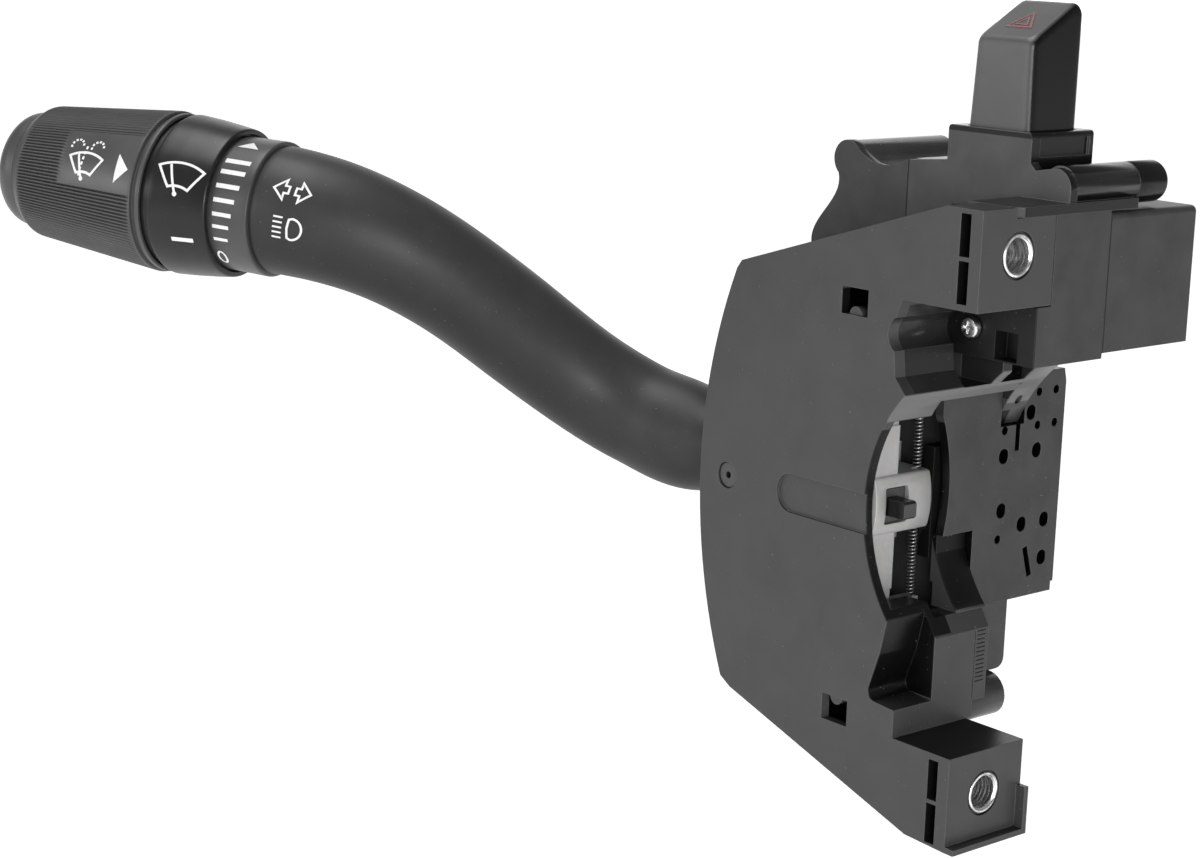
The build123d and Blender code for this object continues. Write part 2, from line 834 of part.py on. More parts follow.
# Connector block below the hazard switch
with BuildPart() as connector_block:
    with BuildSketch(facing_driver(connector_front)):
        rect_between(connector_left, 0, connector_low, hazard_low)
    extrude(amount=-(connector_joint - connector_front))
    with BuildSketch(facing_driver(connector_front)):
        rect_between(-block_width - turn_gap, 1, block_low - turn_gap, hazard_low + 1)
    extrude(amount=-(block_back - connector_front + turn_gap), mode=Mode.SUBTRACT)
    with BuildSketch(facing_driver(connector_front)):
        with Locations((square_hole_x, square_hole_z)):
            Rectangle(square_hole, square_hole)
    extrude(amount=-square_hole_depth, mode=Mode.SUBTRACT)
    with BuildSketch(facing_driver(connector_front)):
        with Locations((channel_screw_x, channel_screw_z)):
            Circle(screw_shank / 2)
    extrude(amount=-boss_hole_depth, mode=Mode.SUBTRACT)
connector_block.part.label = "connector_block"

# Connector shroud with two sockets that open away from the driver
with BuildPart() as connector_shroud:
    with BuildSketch(facing_driver(connector_joint)):
        rect_between(connector_left, 0, connector_low + shroud_step, hazard_low - shroud_drop)
    extrude(amount=-(shroud_back - connector_joint))
    roof_edges = connector_shroud.edges().filter_by(Axis.Y).group_by(Axis.Z)[-1]
    fillet(roof_edges, 1.5)
    with BuildSketch(facing_driver(shroud_back)):
        for socket_x in socket_centres:
            with Locations((socket_x, socket_z)):
                RectangleRounded(socket_width, socket_height, 1.0)
    extrude(amount=socket_depth, mode=Mode.SUBTRACT)
    with BuildSketch(facing_driver(connector_joint)):
        for socket_x in socket_centres:
            with Locations((socket_x, socket_z)):
                with GridLocations(blade_pitch, blade_pitch, 1, blade_rows):
                    Rectangle(blade_width, blade_thickness)
    extrude(amount=-(shroud_back - connector_joint), mode=Mode.SUBTRACT)
connector_shroud.part.label = "connector_shroud"

# Blade terminals that stand in the sockets
with BuildPart() as connector_terminals:
    with BuildSketch(facing_driver(connector_joint)):
        for socket_x in socket_centres:
            with Locations((socket_x, socket_z)):
                with GridLocations(blade_pitch, blade_pitch, 1, blade_rows):
                    Rectangle(blade_width, blade_thickness)
    extrude(amount=-(shroud_back - socket_depth + blade_reach - connector_joint))
connector_terminals.part.label = "connector_terminals"

# Hazard switch housing: front plate, base, collar and bosses
with BuildPart() as hazard_housing:
    with BuildSketch(facing_driver(hazard_face)):
        with BuildLine():
            Polyline(
                (wing_right, tray_top(wing_right) + seat_gap),
                (wing_right, wing_top),
                (collar_left, hazard_shelf),
                (collar_left, collar_top),
                (collar_right, collar_top),
                (collar_right, hazard_shelf + 1.5),
                (collar_right + 1.5, hazard_shelf),
                (right_boss_x, hazard_shelf + 1.0),
            )
            ThreePointArc(
                (right_boss_x, hazard_shelf + 1.0),
                (hazard_right - 1.2, right_boss_z + 3.0),
                (hazard_right, right_boss_z),
            )
            Polyline(
                (hazard_right, right_boss_z),
                (hazard_right, hazard_low),
                (connector_left, hazard_low),
                (connector_left, tray_top(connector_left) + seat_gap),
                (wing_right, tray_top(wing_right) + seat_gap),
            )
        make_face()
    extrude(amount=-hazard_wall)
    with BuildSketch(facing_driver(hazard_face + hazard_wall)):
        rect_between(collar_left, collar_right, hazard_low, collar_top)
    extrude(amount=-(collar_back - hazard_face - hazard_wall))
    with BuildSketch(facing_column(collar_right)):
        rect_between(
            hazard_face + hazard_wall + lip_groove,
            collar_back - collar_lip,
            hazard_shelf + 2 * collar_lip,
            collar_top - collar_lip,
        )
    extrude(amount=-collar_panel_depth, mode=Mode.SUBTRACT)
    with BuildSketch(facing_driver(hazard_face + hazard_wall)):
        rect_between(wing_right, collar_right, hazard_low, hazard_shelf - 1.0)
        with Locations((right_boss_x, right_boss_z)):
            Circle(right_boss_radius)
        rect_between(collar_right, right_boss_x, hazard_low, right_boss_z)
    extrude(amount=-(cover_joint - hazard_face - hazard_wall))
    with BuildSketch(facing_driver(base_front)):
        rect_between(-block_width + 1.0, 0, hazard_low, hazard_low + base_wall)
    extrude(amount=-(base_back - base_front))
    tab_corner = hazard_housing.edges().filter_by(Axis.Z).group_by(Axis.Y)[0].sort_by(Axis.X)[-1]
    chamfer(tab_corner, 2.2)
    collar_corners = hazard_housing.edges().filter_by(Axis.Y).group_by(Axis.Z)[-1]
    fillet(collar_corners, collar_corner)

    # Well for the button
    with BuildSketch(Plane.XY.offset(collar_top)):
        with Locations((button_x - button_taper / 2, button_middle)):
            RectangleRounded(
                button_width + button_taper + 2 * slot_clearance,
                button_depth + 2 * slot_clearance,
                button_corner + slot_clearance,
            )
    extrude(amount=-(collar_top - hazard_low - base_wall), mode=Mode.SUBTRACT)
hazard_housing.part.label = "hazard_housing"

# Rear cover of the hazard switch with the closed ends of the bosses
with BuildPart() as hazard_cover:
    with BuildSketch(facing_driver(cover_joint)):
        rect_between(wing_right, collar_right, hazard_low, hazard_shelf - 1.0)
        with Locations((right_boss_x, right_boss_z)):
            Circle(right_boss_radius)
        rect_between(collar_right, right_boss_x, hazard_low + 0.4, right_boss_z)
    extrude(amount=-(cover_back - cover_joint))
    with BuildSketch(facing_driver(cover_back)):
        with Locations((right_boss_x, right_boss_z)):
            Circle(right_boss_radius)
    extrude(amount=-(right_boss_back - cover_back))
    fillet(hazard_cover.faces().sort_by(Axis.Y)[-1].edges(), 1.2)
    with BuildSketch(facing_driver(right_boss_back - 10.0)):
        with Locations((right_boss_x, right_boss_z)):
            Circle(screw_shank / 2)
    extrude(amount=-10.0, mode=Mode.SUBTRACT)
hazard_cover.part.label = "hazard_cover"

# Hazard push button with its slanted top
with BuildPart() as hazard_button:
    with BuildSketch(facing_column(button_right)):
        with BuildLine():
            Polyline(
                (button_front, button_foot),
                (button_front - button_flare, button_front_top - 1.0),
                (button_front - button_flare + 0.9, button_front_top),
                (button_front + button_depth - 3.6, button_back_top),
            )
            ThreePointArc(
                (button_front + button_depth - 3.6, button_back_top),
                (button_front + button_depth - 0.6, button_back_top - 0.8),
                (button_front + button_depth, button_back_top - 3.6),
            )
            Polyline(
                (button_front + button_depth, button_back_top - 3.6),
                (button_front + button_depth, button_foot),
                (button_front, button_foot),
            )
        make_face()
    extrude(amount=-button_width - button_taper)
    with BuildSketch(facing_driver(button_front - button_corner)):
        with BuildLine():
            Polyline(
                (button_right - button_width - button_taper, collar_top),
                (button_right - button_width, button_back_top + 1.0),
                (button_right - 2 * button_width, button_back_top + 1.0),
                (button_right - 2 * button_width, collar_top),
                (button_right - button_width - button_taper, collar_top),
            )
        make_face()
    extrude(amount=-button_depth - 2 * button_corner, mode=Mode.SUBTRACT)
    long_edges = hazard_button.edges().filter_by(lambda edge: edge.length > 0.9 * button_depth)
    side_edges = long_edges.filter_by(lambda edge: edge.center().Z > collar_top)
    fillet(side_edges.filter_by(Axis.X, reverse=True), button_corner)
    with BuildSketch(Plane.XY.offset(button_foot)):
        with Locations((button_x, button_middle)):
            Rectangle(button_width - 2 * button_wall, button_depth - 2 * button_wall)
            Circle(plunger_radius + button_wall, mode=Mode.SUBTRACT)
    extrude(amount=14.0, mode=Mode.SUBTRACT)
hazard_button.part.label = "hazard_button"

# Plunger under the button, its bridge and the return spring
with BuildPart() as hazard_plunger:
    with BuildSketch(Plane.XY.offset(plunger_foot)):
        with Locations((button_x, button_middle)):
            Circle(plunger_radius)
    extrude(amount=button_foot - plunger_foot)
hazard_plunger.part.label = "hazard_plunger"

with BuildPart() as hazard_bridge:
    with BuildSketch(Plane.XY.offset(plunger_foot - bridge_wall)):
        with Locations((button_x, button_middle)):
            SlotOverall(2 * bridge_half, 2.6)
    extrude(amount=bridge_wall)
hazard_bridge.part.label = "hazard_bridge"

with BuildPart() as hazard_contacts:
    with BuildSketch(Plane.XY.offset(hazard_low + base_wall)):
        with Locations((button_x, button_middle)):
            with GridLocations(2 * bridge_half - 1.6, 1, 2, 1):
                Circle(0.8)
    extrude(amount=rail_wall)
hazard_contacts.part.label = "hazard_contacts"

with BuildPart() as hazard_spring:
    with BuildLine() as spring_line:
        Helix(
            pitch=hazard_spring_height / 4.0,
            height=hazard_spring_height,
            radius=hazard_spring_radius,
            center=(button_x, button_middle, hazard_low + base_wall + spring_wire / 2),
        )
    with BuildSketch(Plane(origin=spring_line.line @ 0, z_dir=spring_line.line % 0)):
        Circle(spring_wire / 2)
    sweep()
hazard_spring.part.label = "hazard_spring"


def pan_screw(length):
    """Pan head screw whose head sits on the sketch plane of its place and whose shank runs to local -Z."""
    with BuildPart() as screw:
        with BuildSketch():
            Circle(screw_head / 2)
        extrude(amount=screw_head_height)
        fillet(screw.edges().group_by(Axis.Z)[-1], 0.7)
        with BuildSketch():
            Circle(screw_shank / 2)
        extrude(amount=-length)
        with BuildSketch(Plane.XY.offset(screw_head_height)):
            Rectangle(2.8, 0.6)
            Rectangle(0.6, 2.8)
        extrude(amount=-0.9, mode=Mode.SUBTRACT)
    return screw.part


case_screw = pan_screw(8.0)
with BuildPart() as case_screws:
    with Locations(facing_driver(connector_front)):
        with Locations((channel_screw_x, channel_screw_z)):
            add(case_screw)
    with Locations(Plane(origin=(0, back_face + back_wall, 0), x_dir=(-1, 0, 0), z_dir=(0, 1, 0))):
        with Locations((-post_x, post_upper_z), (-post_x, post_lower_z)):
            add(case_screw)
    with Locations(Plane(origin=(low_boss_x, low_boss_back, low_boss_z), z_dir=(0, 1, 0))):
        add(case_screw)
case_screws.part.label = "case_screws"

with BuildPart() as hazard_screws:
    with Locations(Plane(origin=(right_boss_x, right_boss_back, right_boss_z), z_dir=(0, 1, 0))):
        add(case_screw)
    with Locations(Plane(origin=(wing_boss_x, wing_boss_back, wing_boss_z), z_dir=(0, 1, 0))):
        add(case_screw)
hazard_screws.part.label = "hazard_screws"

# Pins on which the turn carrier swings, in the plate and in the back wall
with BuildPart() as pivot_pins:
    with BuildSketch(facing_driver(plate_face + pin_recess)):
        with Locations((pivot_x, pivot_z)):
            Circle(pin_radius)
    extrude(amount=-(carrier_front + carrier_wall - plate_face - pin_recess))
    with BuildSketch(facing_driver(carrier_back - carrier_wall)):
        with Locations((pivot_x, pivot_z)):
            Circle(pin_radius)
    extrude(amount=-(back_face + back_wall - carrier_back + carrier_wall))
    with BuildSketch(facing_driver(plate_face + pin_recess)):
        with Locations((pivot_x, pivot_z)):
            Circle(0.8)
    extrude(amount=-2.0, mode=Mode.SUBTRACT)
pivot_pins.part.label = "pivot_pins"

# Nylon turn carrier: frame around the stalk's core, window block, wings and spring posts
with BuildPart() as turn_carrier:
    with BuildSketch(facing_driver(carrier_front)):
        rect_between(
            carrier_left,
            carrier_right,
            pivot_z - carrier_half_height,
            pivot_z + carrier_half_height,
        )
    extrude(amount=-(carrier_back - carrier_front))
    with BuildSketch(facing_driver(carrier_front + carrier_wall)):
        rect_between(
            carrier_left,
            carrier_right - carrier_wall,
            pivot_z - carrier_half_height + carrier_wall,
            pivot_z + carrier_half_height - carrier_wall,
        )
    extrude(amount=-(carrier_back - carrier_front - 2 * carrier_wall), mode=Mode.SUBTRACT)

    # Window block
    with BuildSketch(facing_driver(carrier_front)):
        with BuildLine():
            block_top = (window_block_face - window_block_bulge, pawl_z + window_block_half)
            block_bottom = (window_block_face - window_block_bulge, pawl_z - window_block_half)
            ThreePointArc(block_bottom, (window_block_face, pawl_z), block_top)
            Polyline(
                block_top,
                (carrier_right - carrier_wall, pawl_z + window_block_half),
                (carrier_right - carrier_wall, pawl_z - window_block_half),
                block_bottom,
            )
        make_face()
    extrude(amount=-(window_block_back - carrier_front))
    corner_edges = turn_carrier.edges().filter_by(Axis.Y).sort_by(Axis.X)[-2:]
    fillet(corner_edges, window_block_bulge)

    # Wings beside the block, behind the edge of the plate
    with BuildSketch(facing_driver(carrier_front)):
        with BuildLine():
            Polyline(
                (wing_plate_right, pivot_z),
                (wing_plate_right, pivot_z + wing_plate_half),
                (wing_plate_left, pivot_z + wing_plate_half),
                (carrier_right, pivot_z + carrier_half_height),
                (carrier_right, pivot_z),
                (wing_plate_right, pivot_z),
            )
        wing_face = make_face()
        mirror(wing_face, about=Plane.XZ.offset(-pivot_z))
    extrude(amount=-(wing_plate_back - carrier_front))

    # Window for the pawl
    with BuildSketch(facing_column(window_block_face + 3.0)):
        with Locations((pawl_window_y, pawl_z)):
            RectangleRounded(pawl_window_width, pawl_window_height, 0.6)
    extrude(amount=-pawl_room - 3.0, mode=Mode.SUBTRACT)

    # Posts that hold the ends of the long spring
    for side in (1, -1):
        post_high = pivot_z + side * (spring_post_half - spring_post_wall / 2)
        with BuildSketch(facing_driver(carrier_front)):
            with Locations((spring_x - 0.6, post_high)):
                Rectangle(3.4, spring_post_wall)
            with Locations((spring_x - 0.8, pivot_z + side * (wing_plate_half + 1.0))):
                Rectangle(3.0, 2 * (spring_post_half - wing_plate_half) - spring_post_wall + 0.2)
        extrude(amount=-(wing_plate_back - carrier_front))
        with BuildSketch(facing_driver(wing_plate_back)):
            with Locations((spring_x - 0.6, post_high)):
                Rectangle(3.4, spring_post_wall)
        extrude(amount=-(spring_y + 1.6 - wing_plate_back))
    with BuildSketch(Plane.XY.offset(pawl_z - window_block_half - 1)):
        with Locations((spring_x, spring_y)):
            Circle(pawl_spring_radius + seat_gap)
    extrude(amount=2 * window_block_half + 2, mode=Mode.SUBTRACT)

    # Boss for the detent plunger and finger for the contact slider
    with BuildSketch(facing_driver(window_block_back)):
        rect_between(carrier_right - carrier_wall, plunger_tip - 4.4, pivot_z - 3.4, pivot_z + 3.4)
    extrude(amount=-(plunger_bore_y + detent_radius + 1.2 - window_block_back))
    with BuildSketch(facing_column(plunger_tip - 4.4)):
        with Locations((plunger_bore_y, pivot_z)):
            Circle(detent_radius + running)
    extrude(amount=-(detent_length + 1.6), mode=Mode.SUBTRACT)
    with BuildSketch(facing_driver(carrier_back)):
        with Locations((finger_x, pivot_z)):
            Circle(finger_width / 2)
    extrude(amount=-(finger_reach - carrier_back))
    with BuildSketch(facing_driver(carrier_front)):
        with Locations((pivot_x, pivot_z)):
            Circle(pin_radius + pin_gap)
    extrude(amount=-(carrier_back - carrier_front), mode=Mode.SUBTRACT)
    with BuildSketch(Plane.XY.offset(pivot_z - carrier_half_height)):
        with Locations((pull_x, root_y)):
            Circle(pull_pin_radius)
    extrude(amount=2 * carrier_half_height, mode=Mode.SUBTRACT)
turn_carrier.part.label = "turn_carrier"

# Cancelling pawl that slides in the window
with BuildPart() as cancel_pawl:
    with BuildSketch(facing_column(window_block_face + pawl_reach)):
        with Locations((pawl_y, pawl_z)):
            Rectangle(pawl_size, pawl_size)
    extrude(amount=-(pawl_reach + pawl_room - pawl_travel - slot_clearance))
    chamfer(cancel_pawl.edges().group_by(Axis.X)[-1].filter_by(Axis.Y), 0.5)
    with BuildSketch(facing_column(window_block_face - 1.0)):
        with Locations((pawl_window_y, pawl_z)):
            Rectangle(pawl_window_width - 2 * slot_clearance, pawl_window_height - 2 * slot_clearance)
    extrude(amount=-1.4)
cancel_pawl.part.label = "cancel_pawl"

with BuildPart() as pawl_spring:
    with BuildSketch(Plane.XY.offset(pivot_z - spring_post_half + spring_post_wall)):
        with Locations((spring_x, spring_y)):
            Circle(pawl_spring_radius)
            Circle(pawl_spring_radius - pawl_spring_wire, mode=Mode.SUBTRACT)
    extrude(amount=2 * (spring_post_half - spring_post_wall))
pawl_spring.part.label = "pawl_spring"

# Detent plunger, its spring and the notched track
with BuildPart() as detent_plunger:
    with BuildSketch(facing_column(plunger_tip)):
        with Locations((plunger_bore_y, pivot_z)):
            Circle(detent_radius)
    extrude(amount=-detent_length)
    fillet(detent_plunger.edges().group_by(Axis.X)[-1], detent_radius * 0.8)
detent_plunger.part.label = "detent_plunger"

with BuildPart() as detent_spring:
    with BuildSketch(facing_column(plunger_tip - detent_length)):
        with Locations((plunger_bore_y, pivot_z)):
            Circle(detent_radius - 0.1)
            Circle(detent_radius - 0.6, mode=Mode.SUBTRACT)
    extrude(amount=-(detent_length + 1.6 + 4.4 - detent_length))
detent_spring.part.label = "detent_spring"

with BuildPart() as detent_track:
    with BuildSketch(facing_driver(plunger_bore_y - detent_radius - 0.4)):
        rect_between(plunger_tip - 1.0, web_left - 0.1, pivot_z - track_half, pivot_z + track_half)
        with Locations((pivot_x, pivot_z)):
            Circle(detent_reach + track_gap, mode=Mode.SUBTRACT)
        for step in (-1, 0, 1):
            notch_angle = math.radians(step * turn_angle)
            notch_reach = detent_reach + track_gap + 0.2
            notch_x = pivot_x + notch_reach * math.cos(notch_angle)
            notch_z = pivot_z + notch_reach * math.sin(notch_angle)
            with Locations((notch_x, notch_z)):
                Circle(1.0, mode=Mode.SUBTRACT)
    extrude(amount=-(back_face - plunger_bore_y + detent_radius + 0.4))
detent_track.part.label = "detent_track"

# Contact slider moved by the carrier's finger, with its brass bridges
with BuildPart() as turn_slider:
    with BuildSketch(facing_driver(slider_front)):
        rect_between(slider_left, slider_right, pivot_z - slider_half, pivot_z + slider_half)
    extrude(amount=-(slider_back - slider_front))
    with BuildSketch(facing_driver(slider_front)):
        with Locations((finger_x, pivot_z)):
            Rectangle(finger_width + 4 * slot_clearance, finger_width + 2 * slot_clearance)
    extrude(amount=-(finger_reach + slot_clearance - slider_front), mode=Mode.SUBTRACT)
turn_slider.part.label = "turn_slider"

with BuildPart() as turn_contacts:
    with BuildSketch(facing_driver(slider_back)):
        for contact_x in (slider_left + 4.0, (slider_left + slider_right) / 2, slider_right - 4.0):
            with Locations((contact_x, pivot_z)):
                SlotOverall(9.0, 3.0, rotation=90)
    extrude(amount=-bridge_wall)
turn_contacts.part.label = "turn_contacts"

with BuildPart() as contact_board:
    with BuildSketch(facing_driver(board_front)):
        rect_between(
            box_left + case_wall,
            panel_back,
            -box_half_height + case_wall,
            box_half_height - case_wall,
        )
    extrude(amount=-board_wall)
contact_board.part.label = "contact_board"

with BuildPart() as contact_rails:
    with BuildSketch(facing_driver(board_front - rail_wall)):
        for contact_x in (slider_left + 4.0, (slider_left + slider_right) / 2, slider_right - 4.0):
            for side in (1, -1):
                with Locations((contact_x, pivot_z + side * 9.0)):
                    Rectangle(2.4, 12.0)
    extrude(amount=-rail_wall)
contact_rails.part.label = "contact_rails"

# Steel core of the stalk, its pull pin and the return spring
with BuildPart() as stalk_core:
    with BuildSketch(facing_column(core_end)):
        with Locations((root_y, root_z)):
            RectangleRounded(core_width, core_height, 1.2)
    extrude(amount=-(core_end - root_x + core_seat))
    with BuildSketch(Plane.XY.offset(root_z - core_height / 2)):
        with Locations((pull_x, root_y)):
            Circle(pull_pin_radius + pin_gap)
    extrude(amount=core_height, mode=Mode.SUBTRACT)
    with BuildSketch(Plane.XY.offset(root_z + core_height / 2)):
        with Locations((pull_x, root_y)):
            Circle(pull_spring_radius)
    extrude(amount=-pull_spring_length, mode=Mode.SUBTRACT)
stalk_core.part.label = "stalk_core"

with BuildPart() as pull_pin:
    with BuildSketch(Plane.XY.offset(pivot_z - carrier_half_height)):
        with Locations((pull_x, root_y)):
            Circle(pull_pin_radius)
    extrude(amount=2 * carrier_half_height)
pull_pin.part.label = "pull_pin"

with BuildPart() as pull_spring:
    with BuildSketch(Plane.XY.offset(root_z + core_height / 2)):
        with Locations((pull_x, root_y)):
            Circle(pull_spring_radius)
            Circle(pull_spring_radius - pull_spring_wire, mode=Mode.SUBTRACT)
    extrude(amount=-pull_spring_length)
pull_spring.part.label = "pull_spring"

# S-bent stalk, lofted through round sections along its path
with BuildLine() as stalk_path:
    Bezier((root_x, root_y, root_z), bend_one, bend_two, knob_start)
stations = (
    (0.0, root_radius),
    (0.03, sleeve_radius),
    (0.08, neck_radius - 0.3),
    (0.2, neck_radius),
    (0.35, neck_radius + 0.1),
    (0.5, mid_radius - 0.1),
    (0.65, mid_radius),
    (0.8, mid_radius + 0.7),
    (0.92, stalk_end_radius - 0.5),
    (1.0, stalk_end_radius),
)
with BuildPart() as stalk:
    for along, radius in stations:
        heading = stalk_path.line % along
        sideways = Vector(0, 0, 1).cross(heading)
        with BuildSketch(Plane(origin=stalk_path.line @ along, x_dir=sideways, z_dir=heading)):
            Circle(radius)
    loft()
    with BuildSketch(facing_column(root_x + 1.0)):
        with Locations((root_y, root_z)):
            RectangleRounded(core_width, core_height, 1.2)
    extrude(amount=-core_seat - 1.0, mode=Mode.SUBTRACT)
    with BuildSketch(knob_at(0)):
        Circle(spindle_radius)
    extrude(amount=-spindle_seat, mode=Mode.SUBTRACT)
stalk.part.label = "stalk"

# Scale ring fixed on the end of the stalk
with BuildPart() as scale_ring:
    with BuildSketch(knob_side):
        with BuildLine():
            Polyline(
                (0, spindle_radius),
                (0, scale_radius - 0.5),
                (0.5, scale_radius),
                (scale_length, scale_radius - 0.2),
                (scale_length, spindle_radius),
                (0, spindle_radius),
            )
        make_face()
    revolve(axis=knob_axis)
scale_ring.part.label = "scale_ring"

# Spindle that carries the collar and the knob
with BuildPart() as knob_spindle:
    with BuildSketch(knob_at(-spindle_seat)):
        Circle(spindle_radius)
        Circle(spindle_bore, mode=Mode.SUBTRACT)
    extrude(amount=spindle_seat + spindle_end)
knob_spindle.part.label = "knob_spindle"

with BuildPart() as wiper_collar:
    with BuildSketch(knob_side):
        with BuildLine():
            Polyline(
                (collar_start, scale_radius + 0.4),
                (collar_start, collar_start_radius - 0.5),
                (collar_start + 0.6, collar_start_radius),
            )
            Spline(
                (collar_start + 0.6, collar_start_radius),
                (collar_start + 7.0, collar_end_radius - 0.75),
                (collar_end - 0.6, collar_end_radius),
            )
            Polyline(
                (collar_end - 0.6, collar_end_radius),
                (collar_end, collar_end_radius - 0.6),
                (collar_end, neck_outer),
                (collar_end + neck_reach, neck_outer),
                (collar_end + neck_reach, neck_outer - knob_wall),
                (hub_start + collar_hub_wall, neck_outer - knob_wall),
                (hub_start + collar_hub_wall, spindle_radius + running),
                (hub_start, spindle_radius + running),
                (hub_start, scale_radius + 0.4),
                (collar_start, scale_radius + 0.4),
            )
        make_face()
    revolve(axis=knob_axis)
wiper_collar.part.label = "wiper_collar"

with BuildPart() as wiper_rotor:
    with BuildSketch(knob_at(hub_start + collar_hub_wall)):
        Circle(rotor_radius)
        Circle(spindle_radius + running, mode=Mode.SUBTRACT)
    extrude(amount=rotor_wall)
    with BuildSketch(knob_at(hub_start + collar_hub_wall + rotor_wall)):
        with PolarLocations(rotor_radius - 2.0, 3):
            Circle(1.2)
    extrude(amount=0.4)
wiper_rotor.part.label = "wiper_rotor"

with BuildPart() as wiper_board:
    with BuildSketch(knob_at(hub_start + collar_hub_wall + rotor_wall + 0.8)):
        Circle(rotor_radius + 1.0)
        Circle(spindle_radius, mode=Mode.SUBTRACT)
    extrude(amount=wiper_board_wall)
wiper_board.part.label = "wiper_board"

# Washer knob that slides and turns on the spindle
with BuildPart() as washer_knob:
    with BuildSketch(knob_side):
        with BuildLine():
            Polyline(
                (knob_start_s, neck_outer + 0.35),
                (knob_start_s, knob_wide_radius - 0.7),
                (knob_start_s + 0.3, knob_wide_radius - 0.4),
                (knob_start_s + rim_ridge, knob_wide_radius - 0.4),
                (knob_start_s + rim_ridge, knob_wide_radius - rim_groove_depth - 0.3),
                (ribs_start, knob_wide_radius - rim_groove_depth - 0.3),
                (ribs_start, knob_wide_radius - 0.3),
                (ribs_start + 0.4, knob_wide_radius),
                (knob_end - 3.0, knob_narrow_radius),
            )
            TangentArc(
                (knob_end - 3.0, knob_narrow_radius),
                (knob_end, knob_narrow_radius - 2.2),
                tangent=(knob_end - 3.0 - ribs_start, knob_narrow_radius - knob_wide_radius),
            )
            Polyline(
                (knob_end, knob_narrow_radius - 2.2),
                (knob_end, 0),
                (spindle_end - 1.0, 0),
                (spindle_end - 1.0, spindle_bore - 1.0),
                (spindle_end + washer_travel + 0.4, spindle_bore - 1.0),
                (spindle_end + washer_travel + 0.4, spindle_radius + running),
                (hub_face, spindle_radius + running),
                (hub_face, spindle_radius + knob_wall),
                (knob_end - 3.4, spindle_radius + knob_wall),
                (knob_end - 3.4, knob_narrow_radius - knob_wall),
                (skirt_end, knob_wide_radius - knob_wall),
                (skirt_end, neck_outer + 0.35),
                (knob_start_s, neck_outer + 0.35),
            )
        make_face()
    revolve(axis=knob_axis)
washer_knob.part.label = "washer_knob"

# Smooth dome on the end of the knob
with BuildPart() as knob_cap:
    with BuildSketch(knob_side):
        with BuildLine():
            Polyline((cap_end, 0), (knob_end, 0), (knob_end, cap_radius), (cap_start, cap_radius))
            Spline(
                (cap_end, 0),
                (cap_start + cap_dome * 0.7071, cap_radius * 0.7071),
                (cap_start, cap_radius),
                tangents=((0, 1), (-1, 0)),
            )
        make_face()
    revolve(axis=knob_axis)
knob_cap.part.label = "knob_cap"

with BuildPart() as knob_spring:
    with BuildSketch(knob_at(hub_face - knob_spring_length)):
        Circle(spindle_radius + 1.3)
        Circle(spindle_radius + 0.3, mode=Mode.SUBTRACT)
    extrude(amount=knob_spring_length)
knob_spring.part.label = "knob_spring"

with BuildPart() as washer_contact:
    with BuildSketch(knob_at(spindle_end - washer_travel - 6.0)):
        Circle(spindle_bore)
    extrude(amount=4.0)
washer_contact.part.label = "washer_contact"

os.makedirs("parts", exist_ok=True)
pieces = (
    front_housing,
    mount_sleeves,
    rear_housing,
    terminal_panel,
    connector_block,
    connector_shroud,
    connector_terminals,
    hazard_housing,
    hazard_cover,
    hazard_button,
    hazard_plunger,
    hazard_bridge,
    hazard_contacts,
    hazard_spring,
    case_screws,
    hazard_screws,
    pivot_pins,
    turn_carrier,
    cancel_pawl,
    pawl_spring,
    detent_plunger,
    detent_spring,
    detent_track,
    turn_slider,
    turn_contacts,
    contact_board,
    contact_rails,
    stalk_core,
    pull_pin,
    pull_spring,
    stalk,
    scale_ring,
    knob_spindle,
    wiper_collar,
    wiper_rotor,
    wiper_board,
    washer_knob,
    knob_cap,
    knob_spring,
    washer_contact,
)
for piece in pieces:
    export_step(piece.part, f"parts/{piece.part.label}.step")
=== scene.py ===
import json

import bmesh
import bpy
import numpy as np
from mathutils import Matrix, Vector


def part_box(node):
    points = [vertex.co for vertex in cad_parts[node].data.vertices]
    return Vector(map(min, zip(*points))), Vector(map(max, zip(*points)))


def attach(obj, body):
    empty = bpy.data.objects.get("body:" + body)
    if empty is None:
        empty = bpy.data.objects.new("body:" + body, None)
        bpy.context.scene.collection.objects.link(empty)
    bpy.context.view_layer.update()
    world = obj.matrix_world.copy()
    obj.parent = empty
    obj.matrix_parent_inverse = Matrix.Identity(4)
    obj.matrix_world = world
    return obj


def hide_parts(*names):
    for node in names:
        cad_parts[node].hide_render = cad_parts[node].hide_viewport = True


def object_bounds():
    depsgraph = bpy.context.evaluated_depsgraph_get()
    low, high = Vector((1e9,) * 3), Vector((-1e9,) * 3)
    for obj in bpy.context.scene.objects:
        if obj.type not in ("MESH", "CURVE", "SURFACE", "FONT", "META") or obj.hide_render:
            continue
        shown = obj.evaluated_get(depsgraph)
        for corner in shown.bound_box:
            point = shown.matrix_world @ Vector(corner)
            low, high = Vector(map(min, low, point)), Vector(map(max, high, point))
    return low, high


bl_info = {
    "name": "Combination stalk switch",
    "version": (1, 0, 0),
    "blender": (4, 5, 0),
    "location": "View3D > Sidebar > Stalk switch",
    "description": "Dresses the packed stalk switch with mouldings, signs, springs and a studio",
    "category": "Add Mesh",
}

